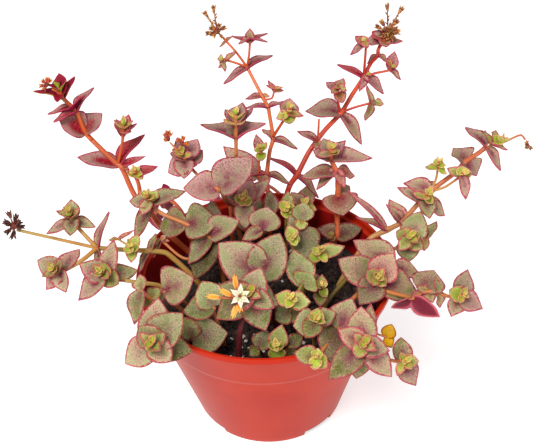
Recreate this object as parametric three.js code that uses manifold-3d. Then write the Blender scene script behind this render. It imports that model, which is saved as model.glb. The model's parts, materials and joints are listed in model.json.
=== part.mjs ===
// A potted trailing succulent: a round plastic pot of dark soil, with leafy stems that grow out
// of it and over its rim, their dried flower heads, and one small cluster of open blooms.
// Millimetres, +Z up. The origin is the middle of the pot's flat base. The front is -Y.
import * as THREE from 'three';
import { mergeVertices } from 'three/addons/utils/BufferGeometryUtils.js';
import Module from 'manifold-3d';

const wasm = await Module();
wasm.setup();

// Driving sizes of the pot and the soil
const POT = {
  height: 72.6,
  rimRadius: 54,
  baseRadius: 32.8,
  wall: 1.6,
  lipHeight: 3.2,
  lipStep: 1.3,
  lipShoulder: 0.6,
  lipWall: 1.5,
  round: 0.6,
};
const RIDGE = { below: 18.4, height: 1.4, depth: 0.4 };
const DRAIN = { count: 4, firstAngle: 38, width: 15, height: 3.2, depth: 6 };
const FLOOR_THICKNESS = 2.4;
const SOIL_LEVEL = 57;
const GAP = 0.3;
const SOIL_CLEARANCE = 0.45;
const HOLE_CLEARANCE = 0.5;
const ROOT_DEPTH = 9;
const NECK_HEIGHT = 2;

// Driving sizes of the foliage
const LEAF = { thickest: 1.3, thinnest: 0.8, plump: 0.1, thinning: 0.4 };
const OUTLINE = [[0, 0.45], [0.15, 0.84], [0.35, 1], [0.56, 0.95], [0.76, 0.68], [0.9, 0.34], [1, 0]];
const OLD_RINGS = [0.27, 0.56, 0.83];
const YOUNG_RINGS = [0.3, 0.68];
const YOUNG_LENGTH = 8;
const BUD_RINGS = [0.45];
const BUD_LENGTH = 3.5;
const INTERNODE = { longest: 1.8, share: 0.3, shortest: 0.8 };
const BUD = { shrink: 0.6, width: 0.75, lift: 0.7, liftMore: 0.5 };
const NEAR_PLACE = 2.2;
const SAME_PLACE = 1e-3;
const BACK_LEAF = { lift: 0.35, width: 0.75, young: [0.7, 0.35] };
const ASIDE = new THREE.Vector3(1, 0.3, 0.1);
const FACETS = { pot: 36, soil: 30, hole: 6 };
const STEM_CORNERS = 4;
const WELD = 1e-4;

// The camera that sees the pot's rim and base as the photo does. A place is given by the
// column and row where it is seen in the photo's frame, and its depth behind the pot's axis.
const VIEW = { width: 533, height: 444, focal: 1000, elevation: 37.67, roll: -2.8, distance: 406.3 };
const VIEW_TARGET = new THREE.Vector3(1.8, 0, 97);
const tilt = THREE.MathUtils.degToRad(VIEW.elevation);
const nearer = new THREE.Vector3(0, -Math.cos(tilt), Math.sin(tilt));
const roll = THREE.MathUtils.degToRad(VIEW.roll);
const rightward = new THREE.Vector3(1, 0, 0).applyAxisAngle(nearer, roll);
const upward = new THREE.Vector3().crossVectors(nearer, rightward);
const eye = VIEW_TARGET.clone().addScaledVector(nearer, VIEW.distance);

const sightLine = (column, row) =>
  new THREE.Vector3()
    .addScaledVector(rightward, (column - VIEW.width / 2) / VIEW.focal)
    .addScaledVector(upward, (VIEW.height / 2 - row) / VIEW.focal)
    .sub(nearer);

const seen = ([column, row, depth]) => {
  const line = sightLine(column, row);
  return eye.clone().addScaledVector(line, (depth - eye.y) / line.y);
};

// The place seen at a column and row, a few millimetres nearer to the camera than another place
const seenBeside = ([column, row, nearerBy], place) => {
  const away = eye.clone().sub(place).dot(nearer) - nearerBy;
  return eye.clone().addScaledVector(sightLine(column, row), away);
};

const leanTo = ([right, up, toward]) => {
  const facing = toward ?? Math.sqrt(Math.max(0, 1 - right * right - up * up));
  return new THREE.Vector3()
    .addScaledVector(rightward, right)
    .addScaledVector(upward, up)
    .addScaledVector(nearer, facing)
    .normalize();
};

const toSolid = (positions, index) => {
  const geometry = new THREE.BufferGeometry();
  geometry.setAttribute('position', new THREE.Float32BufferAttribute(positions, 3));
  geometry.setIndex(index);
  return solidOf(geometry);
};

const solidOf = (geometry) => {
  geometry.deleteAttribute('normal');
  geometry.deleteAttribute('uv');
  const merged = mergeVertices(geometry, WELD);
  const mesh = new wasm.Mesh({
    numProp: 3,
    vertProperties: new Float32Array(merged.getAttribute('position').array),
    triVerts: new Uint32Array(merged.getIndex().array),
  });
  return new wasm.Manifold(mesh);
};

const geometryOf = (solid) => {
  const mesh = solid.getMesh();
  const geometry = new THREE.BufferGeometry();
  geometry.setAttribute('position', new THREE.Float32BufferAttribute(mesh.vertProperties, 3));
  geometry.setIndex(new THREE.Uint32BufferAttribute(mesh.triVerts, 1));
  geometry.computeVertexNormals();
  return geometry;
};

const halfWidthAt = (share) => {
  const next = OUTLINE.findIndex(([along]) => along >= share && along > 0);
  const [from, narrow] = OUTLINE[next - 1];
  const [to, wide] = OUTLINE[next];
  return THREE.MathUtils.lerp(narrow, wide, (share - from) / (to - from));
};

// The part of a direction that stands square to another
const squareTo = (along, direction) =>
  direction.clone().addScaledVector(along, -direction.dot(along) / along.lengthSq()).normalize();

// The rings of a leaf: each has its two edges, over a keel, in turn as its tip sees them
const leafRings = ({ place, axis, tip, width }) => {
  const along = tip.clone().sub(place);
  const length = along.length();
  const upper = squareTo(along, axis);
  const side = new THREE.Vector3().crossVectors(along, upper).normalize();
  const thick = THREE.MathUtils.clamp(length * LEAF.plump, LEAF.thinnest, LEAF.thickest);
  const grown = length < YOUNG_LENGTH ? YOUNG_RINGS : OLD_RINGS;
  const shares = length < BUD_LENGTH ? BUD_RINGS : grown;
  const rings = shares.map((share) => {
    const middle = place.clone().addScaledVector(along, share);
    const half = (width / 2) * halfWidthAt(share);
    return [
      middle.clone().addScaledVector(side, -half),
      middle.clone().addScaledVector(side, half),
      middle.clone().addScaledVector(upper, -thick * (1 - LEAF.thinning * share)),
    ];
  });
  return { rings, upper, along };
};

// The pairs of a rosette: the outer ones reach the places given, and each young one in the
// middle is shorter, more upright and a quarter turn on
const whorlPairs = ({ lean = [0, 0.3], pairs, buds = 0 }, foot, rise) => {
  const axis = leanTo(lean);
  const reach = Math.min(...pairs[0].map((tip) => seenBeside(tip, foot).distanceTo(foot)));
  const { share, shortest, longest } = INTERNODE;
  const step = THREE.MathUtils.clamp(reach * share, shortest, longest);
  const made = [];
  const add = (leavesAt) => {
    const place = foot.clone().addScaledVector(rise ?? axis, made.length * step);
    made.push(leavesAt(place).map((leaf) => ({ place, axis, ...leaf })));
  };
  for (const tips of pairs) {
    add((place) => tips.map(([column, row, nearerBy, width]) => ({
      tip: seenBeside([column, row, nearerBy], place),
      width,
    })));
  }
  const [first, second] = made[made.length - 1];
  let along = first.tip.clone().sub(second.tip);
  let length = Math.min(first.tip.distanceTo(foot), second.tip.distanceTo(foot));
  for (let young = 0; young < buds; young += 1) {
    along = new THREE.Vector3().crossVectors(axis, along).normalize();
    length *= BUD.shrink;
    add((place) => [1, -1].map((way) => {
      const lift = BUD.lift + BUD.liftMore * young;
      const reachOut = along.clone().multiplyScalar(way).addScaledVector(axis, lift);
      return { tip: place.clone().add(reachOut.setLength(length)), width: length * BUD.width };
    }));
  }
  return { pairs: made, step, rise: rise ?? axis };
};

// A pair of leaves square to their stem, a quarter turn on from the pair before it
const rulePair = (place, along, turn, reach) => {
  const out = squareTo(along, ASIDE).applyAxisAngle(along, turn);
  return [1, -1].map((way) => {
    const reachOut = out.clone().multiplyScalar(way).addScaledVector(along, BACK_LEAF.lift);
    const tip = place.clone().add(reachOut.setLength(reach));
    return { place, axis: along, tip, width: reach * BACK_LEAF.width };
  });
};

// Where a stem stands in the soil: at its root, or straight under its first place
const rootOf = ({ root, under, through }) => {
  if (root) return root;
  if (!under) return null;
  const { x, y } = seen(through[0]);
  return [x, y];
};

const stemPlaces = (stem) => {
  const places = stem.through.map(seen);
  const root = rootOf(stem);
  if (!root) return places;
  const foot = new THREE.Vector3(...root, SOIL_LEVEL - ROOT_DEPTH + GAP);
  const neck = new THREE.Vector3(...root, SOIL_LEVEL + NECK_HEIGHT);
  return stem.under ? [foot, ...places] : [foot, neck, ...places];
};

// The stem that a rosette sits on, and how far along that stem's places it is
const seatOf = (foot, paths) => {
  let seat = { away: Infinity };
  paths.forEach((places, stem) => {
    for (let order = 0; order + 1 < places.length; order += 1) {
      const stretch = new THREE.Line3(places[order], places[order + 1]);
      const share = stretch.closestPointToPointParameter(foot, true);
      const near = stretch.at(share, new THREE.Vector3());
      const away = near.distanceTo(foot);
      if (away < seat.away - SAME_PLACE) seat = { away, stem, order: order + share };
    }
  });
  return seat;
};

// The stations of each stem of a plant, in order: its own places, and its rosettes
const stationsOf = ({ stems, whorls }) => {
  const paths = stems.map(stemPlaces);
  const stations = paths.map((places) => places.map((place, order) => ({ place, order })));
  for (const whorl of whorls) {
    const foot = seen(whorl.at);
    const { stem, order } = seatOf(foot, paths);
    const ends = order > paths[stem].length - 1 - SAME_PLACE;
    const free = stations[stem].filter((other) => other.whorl || other.order === 0
      || other.place.distanceTo(foot) > NEAR_PLACE || (ends && other.order < order - 1));
    stations[stem] = [...free, { place: foot, order: order + SAME_PLACE, whorl }];
  }
  return stations.map((list) => list.sort((one, other) => one.order - other.order));
};

const BARE = { pairs: [], step: 0 };
const FLORET = { widestAt: 0.65, flat: 0.7 };

// A stem drawn through its stations as rings, with a leaf drawn out of one side for each tip
const shootSolid = (stations, thick, thin) => {
  const positions = [];
  const index = [];
  const add = (point) => positions.push(...point.toArray()) / 3 - 1;
  const rings = [];
  const last = stations.length - 1;
  let across = ASIDE;
  stations.forEach(({ place, whorl, grown }, number) => {
    const before = stations[Math.max(number - 1, 0)].place;
    const after = stations[Math.min(number + 1, last)].place;
    const course = after.clone().sub(before).normalize();
    const crown = whorl && number === last;
    const made = grown ?? (whorl ? whorlPairs(whorl, place, crown ? null : course) : BARE);
    const along = made.rise ?? course;
    across = squareTo(along, across);
    const other = new THREE.Vector3().crossVectors(along, across).normalize();
    const facing = ({ tip }) => {
      const out = squareTo(along, tip.clone().sub(place));
      return Math.atan2(out.dot(other), out.dot(across));
    };
    const leaves = made.pairs.flat();
    if (leaves.length) {
      const fourfold = leaves.map((leaf) => facing(leaf) * 4);
      const mean = Math.atan2(
        fourfold.reduce((sum, angle) => sum + Math.sin(angle), 0),
        fourfold.reduce((sum, angle) => sum + Math.cos(angle), 0),
      ) / 4;
      across = across.clone().multiplyScalar(Math.cos(mean)).addScaledVector(other, Math.sin(mean));
      other.crossVectors(along, across).normalize();
    }
    const radius = THREE.MathUtils.lerp(thick, thin, number / last) / 2;
    const heights = leaves.length
      ? Array.from({ length: made.pairs.length + 1 }, (_, level) => (level - 0.5) * made.step)
      : [0];
    heights.forEach((height, level) => {
      const centre = place.clone().addScaledVector(along, height);
      const corners = Array.from({ length: STEM_CORNERS }, (_, corner) => {
        const turn = (corner + 0.5) * (Math.PI * 2) / STEM_CORNERS;
        return add(centre.clone()
          .addScaledVector(across, radius * Math.cos(turn))
          .addScaledVector(other, radius * Math.sin(turn)));
      });
      const sides = new Map();
      const free = new Set([0, 1, 2, 3]);
      for (const leaf of level > 0 ? made.pairs[level - 1] : []) {
        const angle = facing(leaf);
        const off = (side) => {
          const turn = angle - (side * Math.PI) / 2;
          return Math.abs(Math.atan2(Math.sin(turn), Math.cos(turn)));
        };
        const side = [...free].sort((one, two) => off(one) - off(two))[0];
        free.delete(side);
        sides.set(side, leaf);
      }
      rings.push({ corners, sides });
    });
  });
  const point = (vertex) => new THREE.Vector3().fromArray(positions, vertex * 3);
  rings.forEach(({ corners: upper, sides }, number) => {
    if (number === 0) return;
    const lower = rings[number - 1].corners;
    for (let side = 0; side < STEM_CORNERS; side += 1) {
      const left = (side + STEM_CORNERS - 1) % STEM_CORNERS;
      const leaf = sides.get(side);
      if (!leaf) {
        index.push(lower[left], lower[side], upper[left], lower[side], upper[side], upper[left]);
        continue;
      }
      const loop = [upper[side], upper[left], lower[left], lower[side]];
      const { rings: outline, upper: faceUp } = leafRings(leaf);
      const heightOf = (first) => point(loop[first]).add(point(loop[(first + 1) % 4])).dot(faceUp);
      const first = [0, 1, 2, 3].sort((one, two) => heightOf(two) - heightOf(one))[0];
      const [q0, q1, q2, q3] = [0, 1, 2, 3].map((by) => loop[(first + by) % 4]);
      let ring = outline[0].map(add);
      index.push(q0, q1, ring[0], q1, ring[1], ring[0], q1, q2, ring[1], q2, ring[2], ring[1]);
      index.push(q2, q3, ring[2], q3, q0, ring[2], q0, ring[0], ring[2]);
      for (const points of outline.slice(1)) {
        const next = points.map(add);
        for (let edge = 0; edge < 3; edge += 1) {
          const after = (edge + 1) % 3;
          index.push(ring[edge], ring[after], next[edge], ring[after], next[after], next[edge]);
        }
        ring = next;
      }
      const tip = add(leaf.tip);
      for (let edge = 0; edge < 3; edge += 1) index.push(ring[edge], ring[(edge + 1) % 3], tip);
    }
  });
  const [f0, f1, f2, f3] = rings[0].corners;
  const [h0, h1, h2, h3] = rings.at(-1).corners;
  index.push(f0, f2, f1, f0, f3, f2);
  index.push(h0, h1, h2, h0, h2, h3);
  return toSolid(positions, index);
};

// The plants: one entry for each group of leafy stems that touch each other
const PLANTS = {
  left_stem: {
    stems: [
      {
        root: [-24, -1],
        through: [[168, 254, 4], [128, 250, 2], [97, 248, 0]],
        thick: 2.6,
        thin: 2,
      },
      { through: [[97, 248, 0], [81, 231, 5], [73, 222, 8]], thick: 1.8, thin: 1.5 },
      { through: [[97, 248, 0], [81, 261, -6], [62, 271, -9]], thick: 1.9, thin: 1.6 },
      { through: [[97, 248, 0], [57, 239, 6], [17, 230, 12]], thick: 1.5, thin: 1.3 },
      { through: [[146, 251, 3], [132, 248, -2]], thick: 1.4, thin: 1.2 },
      { through: [[132, 248, -2], [118, 239, 1]], thick: 1, thin: 0.8 },
    ],
    whorls: [
      { at: [97, 248, 0], lean: [-0.8, 0.2], pairs: [[[109, 211, -3, 6], [113, 283, 2, 6]]] },
      {
        at: [73, 222, 8],
        lean: [-0.1, 0.6],
        pairs: [[[46, 234, 2, 6], [96, 227, 1, 6]], [[71, 199, -1, 8], [70, 236, 6, 7]]],
        buds: 2,
      },
      {
        at: [62, 271, -9],
        lean: [-0.3, 0.2],
        pairs: [[[80, 249, -6, 8], [46, 290, 2, 8]], [[37, 260, 1, 9], [66, 293, 3, 8]]],
        buds: 2,
      },
      {
        at: [132, 248, -2],
        lean: [0, 0.2],
        pairs: [[[131, 263, 1, 5], [138, 234, 0, 5]], [[124, 252, 3, 4], [139, 247, 3, 4]]],
        buds: 1,
      },
      { at: [118, 239, 1], lean: [-0.5, 0.5], pairs: [[[134, 230, 0, 2.4], [108, 240, 1, 2.4]]] },
      { at: [150, 251, 3], lean: [-0.7, 0.3], pairs: [[[139, 273, 0, 5], [156, 233, 0, 5]]] },
    ],
  },
  left_rim_stem: {
    stems: [
      {
        root: [-29, -13],
        through: [[163, 287, -12], [135, 282, -14], [106, 277, -14]],
        thick: 2,
        thin: 1.6,
      },
    ],
    whorls: [
      {
        at: [106, 277, -14],
        lean: [-0.1, 0.3],
        pairs: [
          [[114, 239, -3, 8], [138, 270, -7, 8]],
          [[79, 264, 3, 10], [119, 284, 3, 8]],
          [[78, 301, 0, 9], [104, 262, 3, 7]],
        ],
        buds: 2,
      },
    ],
  },
  upper_left_stem: {
    stems: [
      {
        root: [-28, 20],
        through: [[160, 226, 23], [150, 212, 28], [135, 196, 36], [118, 165, 44], [92, 140, 48]],
        thick: 2.8,
        thin: 2.2,
      },
      {
        through: [[92, 140, 48], [85, 132, 50], [76, 111, 52], [63, 98, 54]],
        thick: 2.2,
        thin: 1.6,
      },
      { through: [[118, 164, 44], [121, 150, 44], [123, 134, 44]], thick: 1.4, thin: 1.2 },
      { through: [[141, 204, 33], [139, 186, 36], [135, 174, 38]], thick: 2.2, thin: 1.5 },
      { through: [[63, 98, 54], [57, 92, 54], [52, 89, 54]], thick: 1.1, thin: 1 },
    ],
    whorls: [
      { at: [118, 165, 44], lean: [-0.5, 0.5], pairs: [[[77, 157, 3, 9], [145, 134, -3, 9]]] },
      { at: [85, 132, 50], lean: [-0.25, 0.55], pairs: [[[59, 119, 5, 14], [102, 113, 1, 13]]] },
      {
        at: [76, 111, 52],
        lean: [-0.4, 0.7],
        pairs: [[[94, 87, -2, 7], [53, 122, 5, 6]], [[47, 114, -1, 5], [80, 97, 7, 7]]],
      },
      {
        at: [63, 98, 54],
        lean: [-0.25, 0.8],
        pairs: [[[33, 91, 2, 6], [75, 76, -2, 6]], [[59, 73, -2, 7], [57, 102, 7, 5]]],
        buds: 1,
      },
      {
        at: [123, 136, 44],
        lean: [0.1, 0.85],
        pairs: [[[137, 123, 1.3, 5], [116, 119, -0.5, 6]], [[129, 114, -2, 6], [129, 132, 6, 5]]],
        buds: 1,
      },
      {
        at: [136, 176, 38],
        lean: [0, 0.6],
        pairs: [[[158, 166, 1, 6], [127, 171, 2, 4]], [[134, 166, 1, 5], [143, 179, 3, 4]]],
        buds: 1,
      },
      { at: [121, 166, 43], lean: [0.3, 0.3], pairs: [[[146, 156, 0.3, 3.5], [130, 170, 1.8, 3]]] },
    ],
  },
  left_middle_stem: {
    stems: [
      {
        root: [-18, 8],
        through: [[208, 238, 8], [186, 223, 13], [163, 214, 17], [151, 205, 20]],
        thick: 2.2,
        thin: 1.6,
      },
      {
        through: [[208, 238, 8], [188, 259, 3], [163, 243, 8], [160, 236, 9]],
        thick: 1.5,
        thin: 1.1,
      },
    ],
    whorls: [
      {
        at: [151, 205, 20],
        lean: [-0.1, 0.5],
        pairs: [
          [[134, 241, -4, 7], [165, 192, -5, 6]],
          [[129, 201, 2, 8], [186, 191, 0, 8]],
          [[157, 190, -1, 6], [141, 215, 4, 6]],
        ],
        buds: 2,
      },
      { at: [186, 224, 13], lean: [0, 0.3], pairs: [[[159, 227, -5, 14], [219, 222, 4, 16]]] },
      {
        at: [212, 240, 7],
        lean: [-0.35, 0.3],
        pairs: [[[212, 199, -3, 13], [194, 280, 2, 14]], [[240, 220, 4, 12], [188, 264, 2, 9]]],
      },
      {
        at: [161, 240, 9],
        lean: [-0.5, 0.5],
        pairs: [[[153, 258, 2, 3], [166, 235, 1.5, 3]], [[155, 245, 0, 2.5], [170, 241, 0, 2.5]]],
      },
    ],
  },
  tall_middle_stem: {
    stems: [
      {
        root: [-9, 26],
        through: [[234, 206, 28], [236, 184, 26], [236, 160, 22], [236, 137, 19], [236, 126, 20]],
        thick: 2,
        thin: 1.6,
      },
      {
        through: [[234, 206, 28], [224, 198, 19], [219, 190, 12], [205, 182, 18], [187, 164, 24]],
        thick: 1.7,
        thin: 1.4,
      },
      {
        through: [[187, 164, 24], [181, 155, 24], [177, 150, 24], [170, 142.5, 24]],
        thick: 1,
        thin: 0.8,
      },
      { through: [[177, 150, 24], [181, 147.8, 24]], thick: 0.9, thin: 0.8 },
    ],
    whorls: [
      { at: [219, 190, 12], lean: [-0.1, 0.4], pairs: [[[183, 188, 4, 14], [253, 157, 3, 16]]] },
      { at: [236, 137, 19], lean: [0, 0.88], pairs: [[[200, 124, 0, 10], [266, 123, 0, 10]]] },
      {
        at: [236, 127, 20],
        lean: [0, 0.9],
        pairs: [[[225, 109, -2, 6], [253, 108, -3, 6]], [[243, 102, -2.7, 8], [233, 123, 6, 9]]],
        buds: 1,
      },
      {
        at: [187, 163, 24],
        lean: [0, 0.4],
        pairs: [[[203, 150, -2, 10], [168, 173, 2, 10]], [[198, 139, -4, 9], [184, 179, 4, 9]]],
        buds: 1,
      },
      { at: [188, 165, 24], lean: [0.2, 0.3], pairs: [[[197, 165, 5, 4], [184, 172, 5, 4]]] },
      { at: [184, 159, 24], lean: [-0.3, 0.6], pairs: [[[177, 137, -2, 6], [170, 153, 3, 6]]] },
    ],
  },
  back_left_stem: {
    stems: [
      {
        root: [3, 34],
        through: [
          [268, 196, 40],
          [266, 172, 48],
          [270, 150, 54],
          [273, 137, 58],
          [269, 112, 64],
          [260, 92, 71],
          [247, 67, 80],
        ],
        thick: 2.5,
        thin: 1.5,
      },
      { through: [[247, 67, 80], [236, 52, 84], [221, 35, 88]], thick: 1.2, thin: 1 },
      { through: [[273, 137, 58], [280, 126, 58], [286, 117, 58]], thick: 1.4, thin: 1.2 },
      { through: [[247, 67, 80], [249, 55, 80], [250, 42, 80]], thick: 1.1, thin: 1 },
      { through: [[247, 67, 80], [236, 63, 80], [226, 60, 80]], thick: 1.1, thin: 1 },
      { through: [[264, 100, 68], [272, 98, 68], [274, 90, 68]], thick: 1, thin: 0.8 },
      { through: [[259, 178, 46], [259, 165, 48], [260, 152, 49]], thick: 1.1, thin: 0.9 },
    ],
    whorls: [
      { at: [267, 174, 47], lean: [0, 0.9], pairs: [[[243, 177, 0, 5], [290, 184, 2, 6]]] },
      { at: [273, 139, 58], lean: [0.35, 0.75], pairs: [[[262, 129, 0, 6], [298, 149, 0, 6]]] },
      { at: [268, 107, 65], lean: [-0.2, 0.9], pairs: [[[245, 108, 0, 6], [284, 101, 0, 6]]] },
      {
        at: [287, 115, 58],
        lean: [0.2, 0.6],
        pairs: [[[290, 98, -2, 9], [290, 124, 3, 7]], [[276, 119, 1, 5], [304, 116, 1, 5]]],
        buds: 1,
      },
      { at: [247, 67, 80], lean: [-0.35, 0.75], pairs: [[[223, 84, 0, 7], [273, 55, 0, 7]]] },
      {
        at: [250, 42, 80],
        lean: [0, 0.9],
        pairs: [[[232, 36, -2, 4.5], [268, 33, -4, 3.5]], [[238, 44, 2, 4.5], [268, 42, 0.5, 3.5]]],
      },
      { at: [250, 41, 80], lean: [0, 0.5], pairs: [[[250, 28, 0, 4.5], [246, 42, 1, 3]]] },
      {
        at: [226, 60, 80],
        lean: [-0.7, 0.3],
        pairs: [[[218, 68, -3, 4], [236, 50, 0, 4]], [[225, 72, 0, 4], [217, 59, 0, 4]]],
      },
      { at: [226, 41, 87], lean: [-0.5, 0.7], pairs: [[[219, 47, 0, 3], [233, 35, 0, 3]]] },
      { at: [262, 96, 70], lean: [0, 0.6], pairs: [[[245, 99, 1, 4], [270, 96, 1, 3]]] },
      {
        at: [274, 91, 68],
        lean: [0.2, 0.7],
        pairs: [[[268, 80, 0, 3], [284, 90, 0, 3]], [[266, 85, 1, 2.5], [283, 87, 0, 2.5]]],
      },
      {
        at: [260, 153, 49],
        lean: [0, 0.6],
        pairs: [[[256, 134, -1, 5], [262, 161, 2, 5]], [[267, 142, 1, 4], [254, 150, 2, 4]]],
        buds: 1,
      },
      { at: [258, 178, 46], lean: [-0.2, 0.5], pairs: [[[223, 146, -2, 11], [271, 178, 3, 5]]] },
    ],
  },
  back_right_stem: {
    stems: [
      {
        root: [14, 32],
        through: [
          [287, 196, 42],
          [290, 185, 44],
          [297, 174, 48],
          [309, 152, 54],
          [325, 130, 60],
          [341, 112, 66],
          [352, 95, 71],
          [364, 76, 77],
        ],
        thick: 2.9,
        thin: 2,
      },
      {
        through: [[364, 76, 77], [371, 63, 81], [378, 50, 85], [386, 37.5, 88]],
        thick: 1.9,
        thin: 1.5,
      },
      { through: [[340, 112, 66], [338, 101, 66], [338, 92, 66]], thick: 1.3, thin: 1.1 },
      { through: [[342, 112, 66], [356, 107, 66], [370, 102, 66]], thick: 1.2, thin: 1 },
      { through: [[364, 75, 77], [365, 60, 77], [366, 44, 77]], thick: 1.3, thin: 1.1 },
      { through: [[366, 76, 77], [376, 73, 77], [390, 70, 77]], thick: 1.3, thin: 1 },
      {
        through: [[309, 152, 54], [315, 146, 53], [318, 136, 53], [319, 119, 55]],
        thick: 1.1,
        thin: 0.9,
      },
    ],
    whorls: [
      { at: [297, 175, 48], lean: [0.1, 0.9], pairs: [[[268, 157, 0, 5], [319, 198, 0, 6]]] },
      { at: [317, 141, 53], lean: [-0.1, 0.7], pairs: [[[297, 131, 0, 5], [321, 152, 2, 5]]] },
      { at: [341, 113, 66], lean: [0.1, 0.6], pairs: [[[305, 111, 2, 12], [362, 145, 1, 7]]] },
      {
        at: [338, 92, 66],
        lean: [0, 0.6],
        pairs: [
          [[326, 82, 0, 6], [343, 103, 2, 6]],
          [[344, 78, -1, 5], [331, 93, 3, 4]],
          [[347, 91, 1, 4], [335, 88, 3, 3]],
        ],
      },
      {
        at: [371, 103, 66],
        lean: [0.8, 0.1],
        pairs: [[[365, 121, 0, 6], [367, 85, -1, 5]], [[384, 104, 1, 5], [372, 103, 5, 3]]],
      },
      {
        at: [364, 77, 77],
        lean: [0.45, 0.6],
        pairs: [[[337, 64, 1, 5], [384, 94, 3, 8]], [[359, 92, 0.8, 4], [372, 74, 0, 4]]],
      },
      {
        at: [366, 44, 77],
        lean: [-0.4, 0.6],
        pairs: [[[350, 55, 1, 5], [355, 36, 0, 5]], [[363, 36, 0, 3.5], [368, 48, 3, 4]]],
      },
      {
        at: [390, 70, 77],
        lean: [0.2, 0.7],
        pairs: [[[395, 51, -1, 6], [401, 80, 2, 4]], [[386, 58, 2, 5], [397, 66, 1, 4]]],
      },
      { at: [378, 55, 85], lean: [0.3, 0.8], pairs: [[[367, 64, -0.5, 4], [388, 62, 1, 5]]] },
      {
        at: [382, 43, 88],
        lean: [0.1, 0.6],
        pairs: [[[366, 40, 1, 10], [403, 41, 2, 5]], [[372, 31, -1, 8], [386, 47, 4, 6]]],
      },
    ],
  },
  right_middle_stem: {
    stems: [
      {
        root: [27, 25],
        through: [[337, 236, 27], [337, 215, 32], [337, 195, 34], [337, 175, 36], [331, 159, 37]],
        thick: 2.9,
        thin: 2,
      },
      { through: [[337, 236, 27], [332, 237, 25]], thick: 1.1, thin: 1 },
    ],
    whorls: [
      { at: [337, 236, 27], lean: [0, 0.4], pairs: [[[317, 228, 3, 8], [362, 228, 4, 9]]] },
      {
        at: [332, 237, 25],
        lean: [-0.2, 0.7],
        pairs: [[[327, 231, 1, 3], [334, 241, 2, 3]], [[332, 230, 1, 3], [327, 239, 2, 3]]],
      },
      { at: [338, 194, 34], lean: [0, 0.2], pairs: [[[343, 216, 4, 16], [350, 186, -4, 10]]] },
      {
        at: [337, 173, 36],
        lean: [0, 0.7],
        pairs: [[[300, 178, 1, 9], [355, 176, -1, 8]], [[316, 190, -2, 6], [345, 188, 4, 5]]],
      },
      {
        at: [331, 159, 37],
        lean: [0, 0.6],
        pairs: [
          [[373, 158, 1, 9], [313, 150, 1, 10]],
          [[323, 138, -3.8, 9], [346, 140, -1, 6]],
          [[316, 156, 4, 5], [340, 150, 2, 4]],
        ],
        buds: 1,
      },
    ],
  },
  right_stem: {
    stems: [
      {
        root: [32, 3],
        through: [
          [370, 239, 10],
          [402, 221, 14],
          [416, 206, 17],
          [432, 190, 20],
          [456, 172, 24],
          [480, 152, 29],
          [490, 146, 30],
        ],
        thick: 2.5,
        thin: 2,
      },
      {
        through: [[490, 146, 30], [504, 142, 32], [521, 135, 34], [525, 139.5, 34]],
        thick: 1.1,
        thin: 0.9,
      },
      { through: [[416, 206, 17], [424, 200, 15]], thick: 1.3, thin: 1.1 },
      { through: [[432, 190, 20], [436, 179, 21], [438, 168, 21]], thick: 1.1, thin: 0.9 },
      { through: [[433, 191, 20], [445, 187, 19], [461, 177, 18]], thick: 1.2, thin: 1 },
    ],
    whorls: [
      { at: [387, 230, 12], lean: [0, 0.9], pairs: [[[347, 190, -3, 5], [356, 217, 3, 6]]] },
      { at: [402, 222, 14], lean: [0.3, 0.3], pairs: [[[389, 199, -2, 8], [386, 204, 4, 5]]] },
      {
        at: [424, 201, 15],
        lean: [0.1, 0.4],
        pairs: [
          [[397, 187, 2, 6], [445, 216, -2, 7]],
          [[431, 191, -3, 8], [430, 219, 4, 8]],
          [[412, 192, 2, 4], [433, 203, 3, 4]],
        ],
        buds: 1,
      },
      { at: [432, 189, 20], lean: [0.4, 0.4], pairs: [[[403, 183, 3, 8], [421, 180, -4, 6]]] },
      {
        at: [438, 168, 21],
        lean: [0, 0.7],
        pairs: [[[425, 167, 1, 4], [447, 174, 1, 4]], [[436, 158, -1, 4.5], [446, 165, 2, 4]]],
        buds: 1,
      },
      {
        at: [461, 176, 18],
        lean: [0.1, 0.3],
        pairs: [[[447, 168, 1, 5], [472, 172, 1, 5]], [[466, 200, 1, 5], [461, 166, 1, 6]]],
        buds: 1,
      },
      { at: [465, 162, 26], lean: [0.45, 0.35], pairs: [[[453, 148, -1, 12], [477, 176, 3, 12]]] },
      { at: [487, 146, 30], lean: [0.55, 0.4], pairs: [[[465, 127, 1, 7], [501, 171, 2, 7]]] },
      {
        at: [491, 144, 30],
        lean: [0.5, 0.7],
        pairs: [[[485, 130, 1, 5], [508, 150, 2, 5]], [[496, 130, -3.5, 6], [504, 136, 0, 6]]],
        buds: 1,
      },
    ],
  },
  right_rim_stem: {
    stems: [
      {
        root: [25, -10],
        through: [[358, 268, 2], [380, 256, 4], [398, 247, 5], [408, 241, 5]],
        thick: 2.2,
        thin: 1.5,
      },
      { through: [[398, 247, 5], [412, 250, 2], [425, 239, 4]], thick: 1.2, thin: 1 },
    ],
    whorls: [
      {
        at: [408, 241, 5],
        lean: [0, 0.3],
        pairs: [
          [[421, 211, -3, 12], [409, 262, 2, 10]],
          [[396, 231, 2, 8], [424, 249, 3, 7]],
          [[399, 250, 3, 6], [420, 233, 3, 6]],
        ],
        buds: 1,
      },
      { at: [425, 239, 4], lean: [-0.6, 0.3], pairs: [[[437, 221, -2, 6], [424, 251, 2, 6]]] },
    ],
  },
  right_front_stem: {
    stems: [
      { root: [29, -18], through: [[362, 290, -14], [376, 280, -18]], thick: 2.2, thin: 1.8 },
      {
        through: [
          [362, 290, -14],
          [384, 291, -23],
          [404, 296, -25],
          [447, 296, -25],
          [459, 297, -26],
        ],
        thick: 1.9,
        thin: 1.3,
      },
      { through: [[362, 290, -14], [378, 276, -12], [392, 268, -10]], thick: 1.8, thin: 1.4 },
    ],
    whorls: [
      {
        at: [376, 280, -18],
        lean: [0, 0.2],
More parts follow.
